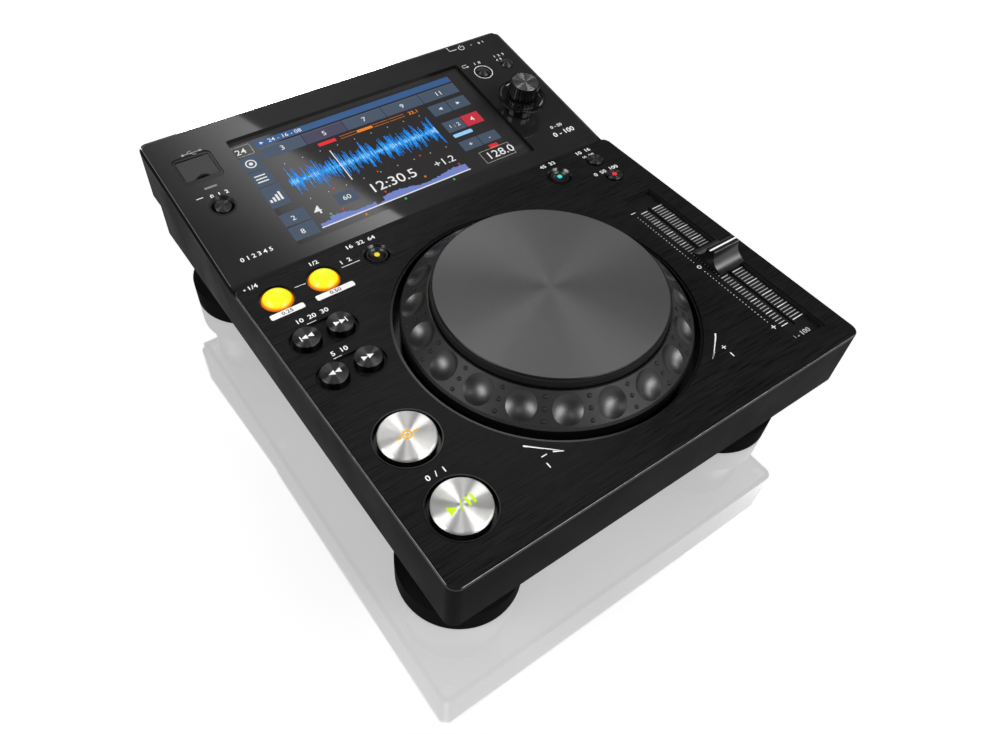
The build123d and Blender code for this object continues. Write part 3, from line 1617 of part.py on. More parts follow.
power_flange = 1.0
power_flange_low = rear_panel_thickness + power_flange
power_switch_low = power_flange_low + power_button_travel
with BuildPart() as power_button:
    with BuildSketch(rear_spot(power_button_x).offset(power_button_proud)):
        Rectangle(power_button_width, power_button_height)
    extrude(amount=-power_button_proud - rear_panel_thickness)
    with BuildSketch(rear_spot(power_button_x).offset(-rear_panel_thickness)):
        Rectangle(power_button_width + 2 * power_flange, power_button_height + 2 * power_flange)
    extrude(amount=-power_flange)
    with BuildSketch(rear_spot(power_button_x).offset(-power_flange_low)):
        Circle(button_stem_radius)
    extrude(amount=-power_button_travel - switch_engagement)
    fillet(power_button.faces().sort_by(Axis.Y)[-1].edges(), 0.5)
finish("power_button", power_button)

with BuildPart() as power_switch:
    with BuildSketch(rear_spot(power_button_x).offset(-power_switch_low)):
        Rectangle(power_switch_width, power_switch_height)
    extrude(amount=-power_switch_depth)
    with BuildSketch(rear_spot(power_button_x).offset(-power_switch_low)):
        Circle(button_stem_radius + running_fit)
    extrude(amount=-power_bore_depth, mode=Mode.SUBTRACT)
    with BuildSketch(Plane.XY.offset(floor_z)):
        with Locations((power_button_x, panel_face_y - power_switch_low - power_switch_depth / 2)):
            Rectangle(power_switch_width, power_switch_depth - 2 * power_flange)
    extrude(amount=port_z - power_switch_height / 2 - floor_z)
grouped("switches", [*deck_cases, *panel_cases, power_switch])

# ------------------------------------------------------------------ boards on the floor
main_board_z = floor_z + standoff_height
main_board_y = jog_y
main_grid = (main_board_length - 2 * standoff_inset, main_board_width - 2 * standoff_inset)
with BuildPart() as main_board:
    with BuildSketch(Plane.XY.offset(main_board_z)):
        with Locations((0, main_board_y)):
            Rectangle(main_board_length, main_board_width)
    extrude(amount=board_thickness)
    with BuildSketch(Plane.XY.offset(main_board_z + board_thickness)):
        with Locations((0, main_board_y)):
            Rectangle(processor_size, processor_size)
        with Locations((memory_shift_x, main_board_y + memory_shift_y)):
            Rectangle(memory_width, memory_length)
        with Locations((driver_shift_x, main_board_y + driver_shift_y)):
            Rectangle(driver_width, driver_length)
    extrude(amount=processor_height)
    with BuildSketch(Plane.XY.offset(floor_z)):
        with Locations((0, main_board_y)):
            with GridLocations(*main_grid, 2, 2):
                Circle(standoff_radius)
    extrude(amount=standoff_height)
finish("main_board", main_board)

power_board_x = inlet_x - power_board_from_inlet
power_board_y = panel_face_y - inlet_depth - power_board_width / 2 - power_board_gap
power_grid = (power_board_length - 2 * standoff_inset, power_board_width - 2 * standoff_inset)
with BuildPart() as power_board:
    with BuildSketch(Plane.XY.offset(main_board_z)):
        with Locations((power_board_x, power_board_y)):
            Rectangle(power_board_length, power_board_width)
    extrude(amount=board_thickness)
    with BuildSketch(Plane.XY.offset(main_board_z + board_thickness)):
        with Locations((power_board_x, power_board_y)):
            Rectangle(transformer_width, transformer_length)
        with Locations((power_board_x + capacitor_shift_x, power_board_y + capacitor_shift_y)):
            Circle(capacitor_radius)
    extrude(amount=transformer_height)
    with BuildSketch(Plane.XY.offset(floor_z)):
        with Locations((power_board_x, power_board_y)):
            with GridLocations(*power_grid, 2, 2):
                Circle(standoff_radius)
    extrude(amount=standoff_height)
finish("power_board", power_board)
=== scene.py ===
"""Looks of the tabletop disc jockey player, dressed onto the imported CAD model."""

import json
import random
from math import atan2, cos, pi, radians, sin, sqrt, tau

import bmesh
import bpy
from mathutils import Euler, Matrix, Vector


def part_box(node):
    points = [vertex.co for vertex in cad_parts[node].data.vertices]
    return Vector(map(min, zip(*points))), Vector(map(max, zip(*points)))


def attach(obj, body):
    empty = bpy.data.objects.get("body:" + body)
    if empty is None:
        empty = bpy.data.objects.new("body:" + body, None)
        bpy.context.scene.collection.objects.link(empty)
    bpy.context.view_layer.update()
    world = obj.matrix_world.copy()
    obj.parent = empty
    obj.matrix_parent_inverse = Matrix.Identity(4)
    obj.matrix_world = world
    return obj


MM = 0.001
MICRON = 0.000001
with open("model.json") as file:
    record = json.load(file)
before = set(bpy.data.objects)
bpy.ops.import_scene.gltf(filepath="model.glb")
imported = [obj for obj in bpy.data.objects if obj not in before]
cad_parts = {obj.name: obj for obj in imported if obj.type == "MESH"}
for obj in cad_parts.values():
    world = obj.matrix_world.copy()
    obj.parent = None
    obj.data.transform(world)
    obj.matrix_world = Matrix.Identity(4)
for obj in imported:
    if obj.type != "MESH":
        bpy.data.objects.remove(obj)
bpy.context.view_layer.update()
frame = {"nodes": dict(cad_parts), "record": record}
nodes = frame["nodes"]
scene = bpy.context.scene
scene.view_settings.view_transform = "Standard"

# ------------------------------------------------------------------ surfaces, in millimetres
# The deck's frame starts at the plate's front left corner. The panel's frame starts at the middle
# of the seam behind the plate, a little lower than the deck, and is tilted up towards the rear.
# The screen's frame starts at the lower left corner of the display window, on the glass.
PANEL_TILT = radians(9.4)
PANEL_DROP = 2.85
WINDOW_FROM_EDGE = 12.3
GLASS_DEPTH = 2.5
PRINT_LIFT = 0.03
RAY_HEIGHT = 40
JOG_MIDDLE = Vector((114.5, 89.2, 0))
# the jog ring's cone, as radius and height from the wheel's middle on the deck
CONE_FOOT = Vector((67.25, 0, 2.6))
CONE_TOP = Vector((55.6, 0, 12.2))
CONE_SLOPE = (CONE_TOP - CONE_FOOT).normalized()
CONE_OUTWARD = Vector((CONE_SLOPE.z, 0, -CONE_SLOPE.x))
# how far under the cone's surface a dimple's dark chrome starts
DIMPLE_LIP = 0.06

plate_low, plate_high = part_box("deck_plate")
glass_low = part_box("touch_glass")[0]
dome_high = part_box("loop_in_button")[1]
deck = Matrix.Translation((plate_low.x, plate_low.y, plate_high.z)) @ Matrix.Scale(MM, 4)
panel = (
    Matrix.Translation((0, plate_high.y, plate_high.z - PANEL_DROP * MM))
    @ Matrix.Rotation(PANEL_TILT, 4, "X")
    @ Matrix.Scale(MM, 4)
)
screen = panel @ Matrix.Translation((glass_low.x / MM, WINDOW_FROM_EDGE, -GLASS_DEPTH))


def at(surface, x, y):
    """The surface's frame moved to the spot (x, y)."""
    return surface @ Matrix.Translation((x, y, 0))


def height_on(node, place):
    """Height of the node's skin over the place's middle, in millimetres."""
    start = place @ Vector((0, 0, RAY_HEIGHT))
    down = (place @ Vector((0, 0, 0)) - start).normalized()
    found, spot, _, _ = nodes[node].ray_cast(start, down)
    if not found:
        raise ValueError(f"{node} isn't under the mark")
    return (place.inverted() @ spot).z


# ------------------------------------------------------------------ materials
# Noise scales are in cells per metre, lengths and depths of bumps in metres.
PATCHES = (35, 35, 35)
FINE_GRAIN = (1400, 1400, 1400)
STREAKS = (80, 3800, 3800)
LIT_CELLS = (900, 900, 900)
SCREEN_CELLS = (2400, 2400, 2400)
QUARTER_TURN = 0.25

SHELL = (0.0055, 0.0055, 0.0057)
BLACK = (0.003, 0.003, 0.0032)
DEEP_BLACK = (0.001, 0.001, 0.001)
DARK_CHROME = (0.06, 0.06, 0.061)
BARE_METAL = (0.55, 0.55, 0.54)

SOCKETS = {
    "colour": "Base Color",
    "metallic": "Metallic",
    "rough": "Roughness",
    "specular": "Specular IOR Level",
    "coat": "Coat Weight",
    "coat_rough": "Coat Roughness",
    "anisotropic": "Anisotropic",
    "turned": "Anisotropic Rotation",
    "strength": "Emission Strength",
}


class Paint:
    """A node material: a principled shader and the textures that feed it."""

    def __init__(self, name, **settings):
        self.material = bpy.data.materials.new(name)
        self.material.use_nodes = True
        self.tree = self.material.node_tree
        self.shader = self.tree.nodes["Principled BSDF"]
        for key, value in settings.items():
            socket = self.shader.inputs[SOCKETS[key]]
            socket.default_value = (*value, 1) if key == "colour" else value

    def node(self, kind, **settings):
        made = self.tree.nodes.new("ShaderNode" + kind)
        for key, value in settings.items():
            setattr(made, key, value)
        return made

    def link(self, source, target):
        self.tree.links.new(source, target)

    def place(self, scale, shift=(0, 0, 0)):
        """The object's coordinates, in metres, stretched by the scale and then shifted."""
        mapping = self.node("Mapping")
        mapping.inputs["Scale"].default_value = scale
        mapping.inputs["Location"].default_value = shift
        self.link(self.node("TexCoord").outputs["Object"], mapping.inputs["Vector"])
        return mapping.outputs["Vector"]

    def noise(self, scale, detail):
        texture = self.node("TexNoise")
        texture.inputs["Scale"].default_value = 1.0
        texture.inputs["Detail"].default_value = detail
        self.link(self.place(scale), texture.inputs["Vector"])
        return texture.outputs["Fac"]

    def span(self, value, low, high, from_low=0.3, from_high=0.7):
        """The value between from_low and from_high, where noise mostly lies, brought to low and high."""
        ranged = self.node("MapRange")
        self.link(value, ranged.inputs["Value"])
        ranged.inputs["From Min"].default_value = from_low
        ranged.inputs["From Max"].default_value = from_high
        ranged.inputs["To Min"].default_value = low
        ranged.inputs["To Max"].default_value = high
        return ranged.outputs["Result"]

    def blend(self, value, first, second, target="Base Color"):
        """Colours the target between two colours by the value, which runs from 0 to 1."""
        mix = self.node("Mix", data_type="RGBA")
        self.link(value, mix.inputs["Factor"])
        mix.inputs[6].default_value = (*first, 1)
        mix.inputs[7].default_value = (*second, 1)
        self.link(mix.outputs[2], self.shader.inputs[target])

    def over(self, mask, target, value):
        """Where the mask is 1, the target takes the value in place of what fed it."""
        socket = self.shader.inputs[target]
        is_colour = target == "Base Color"
        mix = self.node("Mix", data_type="RGBA" if is_colour else "FLOAT")
        first, second, result = (6, 7, 2) if is_colour else (2, 3, 0)
        if socket.is_linked:
            self.link(socket.links[0].from_socket, mix.inputs[first])
        else:
            mix.inputs[first].default_value = socket.default_value
        mix.inputs[second].default_value = (*value, 1) if is_colour else value
        self.link(mask, mix.inputs["Factor"])
        self.link(mix.outputs[result], socket)

    def math(self, operation, first, second):
        """The operation's result on two values, each a socket or a number."""
        made = self.node("Math", operation=operation)
        for value, socket in zip((first, second), made.inputs):
            if isinstance(value, (int, float)):
                socket.default_value = value
            else:
                self.link(value, socket)
        return made.outputs[0]

    def roughen(self, value, low, high):
        self.link(self.span(value, low, high), self.shader.inputs["Roughness"])

    def bump(self, value, depth):
        """Bumps the surface by the value, with a full depth in metres."""
        bump = self.node("Bump")
        bump.inputs["Strength"].default_value = 1.0
        bump.inputs["Distance"].default_value = depth
        self.link(value, bump.inputs["Height"])
        self.link(bump.outputs["Normal"], self.shader.inputs["Normal"])


def shade(colour, factor):
    return tuple(min(1.0, channel * factor) for channel in colour)


def moulded(name, colour, rough, grain=1400, depth=20 * MICRON, spread=0.12, **settings):
    """Moulded plastic, paint or rubber: fine grain and slow patches in gloss and tone."""
    paint = Paint(name, colour=colour, rough=rough, **settings)
    patches = paint.noise(PATCHES, 3)
    paint.blend(paint.span(patches, 0, 1), shade(colour, 1 - spread), shade(colour, 1 + spread))
    paint.roughen(patches, rough * (1 - spread), rough * (1 + spread))
    paint.bump(paint.noise((grain, grain, grain), 2), depth)
    return paint.material


def printed(name, colour):
    """Printed ink: nearly even in tone."""
    return moulded(name, colour, 0.45, spread=0.05, depth=2 * MICRON)


def brushed(name, colour, rough, spread, **settings):
    """Metal brushed along X: fine streaks in tone, gloss and height."""
    paint = Paint(name, colour=colour, rough=rough, **settings)
    streaks = paint.noise(STREAKS, 3)
    paint.blend(paint.span(streaks, 0, 1), shade(colour, 1 - spread), shade(colour, 1 + spread))
    paint.roughen(streaks, rough * 0.75, rough * 1.25)
    paint.bump(streaks, 3 * MICRON)
    return paint


def bare_edge(paint, low, high, width):
    """Bares the metal in a strip of this width along the plate's left, right and front edges."""
    place = paint.node("SeparateXYZ")
    paint.link(paint.node("TexCoord").outputs["Object"], place.inputs["Vector"])
    beside = paint.math("SUBTRACT", paint.math("ABSOLUTE", place.outputs["X"], 0), high.x - width)
    ahead = paint.math("SUBTRACT", low.y + width, place.outputs["Y"])
    above = paint.math("SUBTRACT", place.outputs["Z"], high.z - width)
    edge = paint.math("MINIMUM", paint.math("MAXIMUM", beside, ahead), above)
    mask = paint.math("GREATER_THAN", edge, 0)
    paint.over(mask, "Base Color", BARE_METAL)
    paint.over(mask, "Metallic", 1.0)


def spun(name, colour, rough, rings=420, spread=0.06, **settings):
    """Metal turned on a lathe: fine rings round the node's own middle."""
    paint = Paint(name, colour=colour, rough=rough, turned=QUARTER_TURN, **settings)
    centred = paint.node("VectorMath", operation="SUBTRACT")
    paint.link(paint.node("TexCoord").outputs["Generated"], centred.inputs[0])
    centred.inputs[1].default_value = (0.5, 0.5, 0.5)
    flat = paint.node("VectorMath", operation="MULTIPLY")
    paint.link(centred.outputs["Vector"], flat.inputs[0])
    flat.inputs[1].default_value = (1, 1, 0)
    radius = paint.node("VectorMath", operation="LENGTH")
    paint.link(flat.outputs["Vector"], radius.inputs[0])
    texture = paint.node("TexNoise", noise_dimensions="1D")
    texture.inputs["Scale"].default_value = rings
    texture.inputs["Detail"].default_value = 4
    paint.link(radius.outputs["Value"], texture.inputs["W"])
    grooves = texture.outputs["Fac"]
    paint.blend(paint.span(grooves, 0, 1), shade(colour, 1 - spread), shade(colour, 1 + spread))
    paint.roughen(grooves, rough * 0.85, rough * 1.15)
    paint.bump(grooves, 2 * MICRON)
    tangent = paint.node("Tangent", direction_type="RADIAL", axis="Z")
    paint.link(tangent.outputs["Tangent"], paint.shader.inputs["Tangent"])
    return paint


def painted_side_shade(paint, colour, least=0.93):
    """Painted shade: darkens the colour of what doesn't face upwards, such as a plate's bevel or the
    walls of its window, where it stands in for shade.
    """
    facing = paint.node("SeparateXYZ")
    paint.link(paint.node("TexCoord").outputs["Normal"], facing.inputs["Vector"])
    side = paint.math("LESS_THAN", facing.outputs["Z"], least)
    paint.over(side, "Base Color", colour)
    return side


def jog_paint():
    """Satin black moulding. The finger dimples, under the cone's surface, are dark chrome."""
    paint = Paint("jog_moulding", colour=(0.006, 0.006, 0.0062), specular=0.25)
    patches = paint.noise(PATCHES, 3)
    paint.blend(paint.span(patches, 0, 1), (0.005, 0.005, 0.0052), (0.007, 0.007, 0.0072))
    paint.roughen(patches, 0.46, 0.54)
    from_axis = paint.node("VectorMath", operation="MULTIPLY")
    paint.link(paint.place((1, 1, 1), shift=-(deck @ JOG_MIDDLE)), from_axis.inputs[0])
    from_axis.inputs[1].default_value = (1, 1, 0)
    reach = paint.node("VectorMath", operation="LENGTH")
    paint.link(from_axis.outputs["Vector"], reach.inputs[0])
    spot = paint.node("SeparateXYZ")
    paint.link(paint.node("TexCoord").outputs["Object"], spot.inputs["Vector"])
    outward_part = paint.math("MULTIPLY", reach.outputs["Value"], CONE_OUTWARD.x)
    upward_part = paint.math("MULTIPLY", spot.outputs["Z"], CONE_OUTWARD.z)
    surface = CONE_OUTWARD.dot(CONE_FOOT) * MM + (deck @ JOG_MIDDLE).z * CONE_OUTWARD.z
    height = paint.math("ADD", outward_part, upward_part)
    under = paint.math("SUBTRACT", surface - DIMPLE_LIP * MM, height)
    dimple = paint.math("GREATER_THAN", under, 0)
    paint.over(dimple, "Base Color", DARK_CHROME)
    paint.over(dimple, "Metallic", 1.0)
    paint.over(dimple, "Roughness", 0.37)
    paint.bump(paint.noise(FINE_GRAIN, 2), 3 * MICRON)
    return paint.material


def panel_paint():
    """Satin black fascia under a thin clear coat. Its bevel and its window's walls are matt, with painted
    shade: a deep black colour there.
    """
    paint = Paint(
        "panel_satin", colour=(0.009, 0.0088, 0.009), specular=0.15, coat=0.6, coat_rough=0.04
    )
    patches = paint.noise(PATCHES, 3)
    paint.blend(paint.span(patches, 0, 1), (0.008, 0.0078, 0.008), (0.010, 0.0098, 0.010))
    paint.roughen(patches, 0.33, 0.39)
    # painted shade: deep black, and matt, on the bevel and the window's walls
    paint.over(painted_side_shade(paint, DEEP_BLACK, 0.5), "Roughness", 0.8)
    paint.bump(paint.noise(FINE_GRAIN, 2), 4 * MICRON)
    return paint.material


def lit(name, colour, strength=1.0):
    """A lit mark or lens: its light varies a little over fine cells."""
    paint = Paint(name, colour=shade(colour, 0.02), rough=0.35, specular=0.2, strength=strength)
    cells = paint.noise(LIT_CELLS, 1)
    paint.blend(paint.span(cells, 0, 1), shade(colour, 0.94), colour, "Emission Color")
    return paint.material


def dome_light(name, foot, top):
    """A glowing yellow dome: lemon over the top, orange at its foot, by height in metres."""
    paint = Paint(name, colour=(0.10, 0.08, 0.005), rough=0.3, specular=0.25, strength=1.0)
    place = paint.node("SeparateXYZ")
    paint.link(paint.node("TexCoord").outputs["Object"], place.inputs["Vector"])
    ramp = paint.node("ValToRGB")
    ramp.color_ramp.elements[0].position = 0.0
    ramp.color_ramp.elements[0].color = (0.70, 0.10, 0.0, 1)
    ramp.color_ramp.elements[1].position = 1.0
    ramp.color_ramp.elements[1].color = (0.82, 0.92, 0.02, 1)
    for position, colour in ((0.12, (0.84, 0.36, 0.0, 1)), (0.26, (0.84, 0.80, 0.0, 1))):
        ramp.color_ramp.elements.new(position).color = colour
    paint.link(paint.span(place.outputs["Z"], 0, 1, foot, top), ramp.inputs["Fac"])
    paint.link(ramp.outputs["Color"], paint.shader.inputs["Emission Color"])
    return paint.material


def etched_screen(name):
    """The glass over the display: near black, with a very fine cell pattern in its tone."""
    paint = Paint(name, colour=(0.02, 0.019, 0.019), rough=0.06, specular=0.18)
    cells = paint.noise(SCREEN_CELLS, 1)
    paint.blend(paint.span(cells, 0, 1), (0.020, 0.019, 0.020), (0.026, 0.024, 0.024))
    paint.roughen(paint.noise((30, 30, 30), 2), 0.05, 0.08)
    return paint.material


DOME_FOOT_DEPTH = 0.5 * MM
BARE_EDGE_WIDTH = 0.34 * MM
deck_metal = brushed("deck_brushed", (0.0062, 0.0060, 0.0062), 0.34, specular=0.09, spread=0.85)
bare_edge(deck_metal, plate_low, plate_high, BARE_EDGE_WIDTH)
platter_metal = spun(
    "platter_spun", (0.150, 0.150, 0.153), 0.42, rings=260, spread=0.1, metallic=0.9, anisotropic=0.75
)
# painted shade: the platter's sides and edge darker than its top
painted_side_shade(platter_metal, (0.02, 0.02, 0.02))
cap_metal = spun("cap_turned", DARK_CHROME, 0.42, rings=110, metallic=1.0, anisotropic=1.0)
# painted shade: the caps' sides darkened to near black
painted_side_shade(cap_metal, (0.004, 0.004, 0.004), 0.6)
materials = {
    "shell": moulded("shell_plastic", SHELL, 0.38, spread=0.2, specular=0.004),
    "deck_metal": deck_metal.material,
    "panel_metal": panel_paint(),
    "steel_black": moulded("steel_coated", (0.008, 0.008, 0.0082), 0.5, grain=2200, specular=0.08),
    "bright_steel": brushed("steel_bright", (0.55, 0.56, 0.57), 0.3, metallic=1.0, spread=0.1).material,
    "gloss_black": moulded("gloss_moulding", BLACK, 0.2, specular=0.3, depth=3 * MICRON),
    "button_gloss": cap_metal.material,
    "jog_gloss": jog_paint(),
    "platter_top": platter_metal.material,
    "silver_disc": spun("silver_spun", (0.84, 0.83, 0.81), 0.40, metallic=1.0, anisotropic=1.0).material,
    "lit_dome": dome_light("dome_light", plate_high.z - DOME_FOOT_DEPTH, dome_high.z),
    "lit_dot": lit("lens_light", (0.26, 0.26, 0.27)),
    "foot_plastic": moulded("foot_moulding", (0.0035, 0.0035, 0.0037), 0.4, specular=0.004),
    "foot_rubber": moulded("foot_rubber", (0.0045, 0.0045, 0.0046), 0.65, grain=3000, specular=0.003),
    "screen_glass": etched_screen("screen_glass"),
    "display": moulded("display_module", (0.02, 0.03, 0.05), 0.3, specular=0.4),
    "circuit": moulded("circuit_board", (0.01, 0.07, 0.035), 0.4, specular=0.4),
    "socket_metal": brushed("socket_plated", (0.5, 0.5, 0.5), 0.28, metallic=1.0, spread=0.1).material,
    "gold_plated": brushed("contact_gold", (0.75, 0.55, 0.22), 0.25, metallic=1.0, spread=0.08).material,
    "switch_plastic": moulded("switch_moulding", (0.02, 0.02, 0.02), 0.5, specular=0.3),
    "bush_bronze": spun("bush_sintered", (0.5, 0.35, 0.18), 0.4, metallic=1.0).material,
    "fader_black": moulded("fader_moulding", (0.07, 0.07, 0.071), 0.32, metallic=1.0, depth=2 * MICRON),
}
node_paint = {part["node"]: materials[part["material_slot"]] for part in frame["record"]["subparts"]}
# these nodes have a paint of their own in place of their slot's
node_paint |= {
    "fader_tray": moulded("tray_satin", (0.005, 0.005, 0.0052), 0.4, specular=0.2, depth=6 * MICRON),
    "usb_lid": moulded("lid_satin", (0.020, 0.020, 0.020), 0.45, specular=0.6, depth=6 * MICRON),
    "selector_knob": moulded("knob_gloss", (0.002, 0.002, 0.002), 0.14, specular=0.6, depth=MICRON),
    "case_screws": moulded("screw_black", (0.012, 0.012, 0.012), 0.4, specular=0.1),
    "button_bezels": moulded("bezel_gloss", BLACK, 0.22, specular=0.4, depth=2 * MICRON),
    "reloop_button": moulded("ring_cap", BLACK, 0.34, specular=0.35, depth=2 * MICRON),
}
node_paint["vinyl_button"] = node_paint["reloop_button"]
for name, node in nodes.items():
    node.data.materials.clear()
    node.data.materials.append(node_paint[name])

print_white = printed("print_white", (0.72, 0.72, 0.71))
print_grey = printed("print_grey", (0.38, 0.38, 0.38))
print_dark = printed("print_dark", (0.012, 0.012, 0.012))
white_light = lit("light_white", (0.85, 0.85, 0.85), 0.95)


# ------------------------------------------------------------------ flat marks
DIGIT_SHARE = 0.69
DIGIT_STRETCH = 1.12
PILL_STEPS = 6


class Ink:
    """Flat shapes drawn in a surface's millimetres, laid on it as one piece."""

    def __init__(self):
        self.shapes = bmesh.new()

    def polygon(self, corners):
        self.shapes.faces.new([self.shapes.verts.new((x, y, 0)) for x, y in corners])
        return self

    def bar(self, x, y, width, height):
        """A bar with its lower left corner at (x, y)."""
        return self.polygon([(x, y), (x + width, y), (x + width, y + height), (x, y + height)])

    def stroke(self, points, widths):
        """A line through the points. Its width runs evenly from the first to the last of widths."""
        first, last = widths
        sides = ([], [])
        for index, point in enumerate(points):
            ahead = Vector(points[min(index + 1, len(points) - 1)])
            behind = Vector(points[max(index - 1, 0)])
            across = (ahead - behind).normalized().orthogonal()
            half = (first + (last - first) * index / (len(points) - 1)) / 2
            sides[0].append(Vector(point) + across * half)
            sides[1].append(Vector(point) - across * half)
        for index in range(len(points) - 1):
            corners = (sides[0][index], sides[1][index], sides[1][index + 1], sides[0][index + 1])
            self.polygon([tuple(corner) for corner in corners])
        return self

    def ring(self, x, y, outer, inner=0.0, start=0.0, end=tau, steps=40):
        """A ring, an arc of one, or with no inner radius a disc."""
        angles = [start + (end - start) * index / steps for index in range(steps + 1)]
        rim = [(x + outer * cos(a), y + outer * sin(a)) for a in angles]
        if not inner:
            return self.polygon(rim[:-1])
        bore = [(x + inner * cos(a), y + inner * sin(a)) for a in angles]
        for index in range(steps):
            self.polygon([rim[index], rim[index + 1], bore[index + 1], bore[index]])
        return self

    def pill(self, x, y, width, height, radius):
        """A bar with round corners, its lower left corner at (x, y)."""
        corners = []
        for turn, (cx, cy) in enumerate((
            (x + width - radius, y + height - radius),
            (x + radius, y + height - radius),
            (x + radius, y + radius),
            (x + width - radius, y + radius),
        )):
            for step in range(PILL_STEPS + 1):
                angle = (turn + step / PILL_STEPS) * pi / 2
                corners.append((cx + radius * cos(angle), cy + radius * sin(angle)))
        return self.polygon(corners)

    def arrow(self, x, y, size, angle=0.0):
        """A triangle with its middle at (x, y), pointing along the angle."""
        turned = [angle, angle + tau * 0.36, angle - tau * 0.36]
        return self.polygon([(x + size * cos(a), y + size * sin(a)) for a in turned])

    def number(self, text, x, y, height, align="LEFT", bold=0.025):
        """Digits of this height in Blender's own typeface, widened a little, foot at (x, y)."""
        curve = bpy.data.curves.new("digits", "FONT")
        curve.body = text
        curve.size = height / DIGIT_SHARE
        curve.align_x = align
        curve.offset = bold * height
        curve.resolution_u = 3
        holder = bpy.data.objects.new("digits", curve)
        scene.collection.objects.link(holder)
        bpy.context.view_layer.update()
        graph = bpy.context.evaluated_depsgraph_get()
        mesh = bpy.data.meshes.new_from_object(holder.evaluated_get(graph))
        mesh.transform(Matrix.Translation((x, y, 0)) @ Matrix.Diagonal((DIGIT_STRETCH, 1, 1, 1)))
        self.shapes.from_mesh(mesh)
        bpy.data.objects.remove(holder)
        bpy.data.curves.remove(curve)
        bpy.data.meshes.remove(mesh)
        return self

    def lay(self, name, place, material, body="base", lift=PRINT_LIFT):
        """Makes the piece, lift millimetres above the place, riding on the body."""
        mesh = bpy.data.meshes.new(name)
        bmesh.ops.recalc_face_normals(self.shapes, faces=self.shapes.faces)
        for face in self.shapes.faces:
            if face.normal.z < 0:
                face.normal_flip()
        self.shapes.to_mesh(mesh)
        self.shapes.free()
        mesh.transform(place @ Matrix.Translation((0, 0, lift)))
        mesh.materials.append(material)
        return keep(name, mesh, body)


def keep(name, mesh, body):
    piece = bpy.data.objects.new(name, mesh)
    scene.collection.objects.link(piece)
    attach(piece, body)
    return piece


def revolved(name, places, profile, material, body, steps=48):
    """Turned pieces: at each place the profile of (radius, height) pairs, spun about its axis."""
    shapes = bmesh.new()
    for place in places:
        rows = []
        for index in range(steps):
            angle = tau * index / steps
            points = [Vector((r * cos(angle), r * sin(angle), h)) for r, h in profile]
            rows.append([shapes.verts.new(place @ point) for point in points])
        for index in range(steps):
            ahead = rows[(index + 1) % steps]
            for low in range(len(profile) - 1):
                shapes.faces.new((rows[index][low], ahead[low], ahead[low + 1], rows[index][low + 1]))
    bmesh.ops.remove_doubles(shapes, verts=shapes.verts, dist=0.001 * MM)
    for face in shapes.faces:
        face.smooth = True
    mesh = bpy.data.meshes.new(name)
    shapes.to_mesh(mesh)
    shapes.free()
    mesh.materials.append(material)
    return keep(name, mesh, body)


# ------------------------------------------------------------------ marks on the deck
# Spots and sizes of all marks are in their surface's millimetres, as read from the photograph.
DIGIT = 2.5
deck_numbers = Ink()
for text, x, y, height, align in (
    ("1/4", 6.5, 176.2, DIGIT, "LEFT"),
    ("1/2", 40.5, 175.3, DIGIT, "CENTER"),
    ("1  2", 51.0, 168.5, DIGIT, "LEFT"),
    ("16  32  64", 58.6, 176.2, DIGIT, "LEFT"),
    ("10  20  30", 23.4, 145.0, DIGIT, "CENTER"),
    ("5  10", 23.3, 119.9, DIGIT, "CENTER"),
    ("0  /  1", 23.2, 43.8, DIGIT, "CENTER"),
    ("45  33", 185.9, 175.8, DIGIT, "CENTER"),
    ("10  16", 210.8, 175.1, DIGIT, "CENTER"),
    ("50  100", 211.0, 171.0, 1.6, "CENTER"),
    ("0  50  100", 210.5, 155.0, DIGIT, "CENTER"),
    ("1", 168.9, 22.4, DIGIT, "CENTER"),
    ("1", 62.6, 22.2, DIGIT, "CENTER"),
):
    deck_numbers.number(text, x, y, height, align)
deck_numbers.lay("deck_numbers", deck, print_white)

# a dot, the lines between the loop buttons and the lines that join the paired buttons
leaders = Ink()
leaders.ring(5.1, 177.3, 0.55)
leaders.stroke([(25.4, 166.5), (30.9, 166.3)], (0.35, 0.35))
leaders.stroke([(50.4, 166.5), (60.4, 166.4)], (0.35, 0.35))
leaders.bar(19.1, 142.6, 4.7, 0.3)
leaders.bar(18.9, 118.2, 4.0, 0.3)
leaders.lay("deck_leaders", deck, print_white)

# light labels with dark numbers under the loop buttons
labels = Ink()
label_numbers = Ink()
for text, left, width, middle in (("0.25", 7.0, 17.1, 15.5), ("0.50", 30.3, 20.0, 40.3)):
    labels.pill(left, 152.8, width, 3.4, 0.9)
    label_numbers.number(text, middle, 153.5, 2.1, "CENTER")
labels.lay("deck_labels", deck, print_white)
label_numbers.lay("deck_label_numbers", deck, print_dark, lift=2 * PRINT_LIFT)

# forward and reverse marks beside the jog wheel: a tapered curve, a barb and a sign
turns = Ink()
turns.stroke([(171.8, 36.8), (170.2, 35.0), (166.4, 31.9), (162.9, 29.0), (159.4, 26.5)], (0.8, 0.25))
turns.polygon([(159.4, 26.4), (163.2, 28.6), (162.7, 29.2)])
turns.bar(167.7, 28.5, 2.4, 0.45)
turns.bar(168.7, 27.5, 0.45, 2.4)
turns.stroke([(59.7, 36.4), (61.9, 34.5), (65.2, 31.5), (68.6, 28.6), (72.1, 25.3)], (0.8, 0.25))
turns.polygon([(72.1, 25.2), (68.4, 28.0), (68.0, 27.3)])
turns.bar(62.5, 27.8, 2.9, 0.45)
turns.lay("jog_direction_marks", deck, print_white)

# ------------------------------------------------------------------ fader
FADER_X = 197.94
FADER_MIDDLE = 72.5
TICK_PITCH = 1.92
TICK_STROKE = 0.44
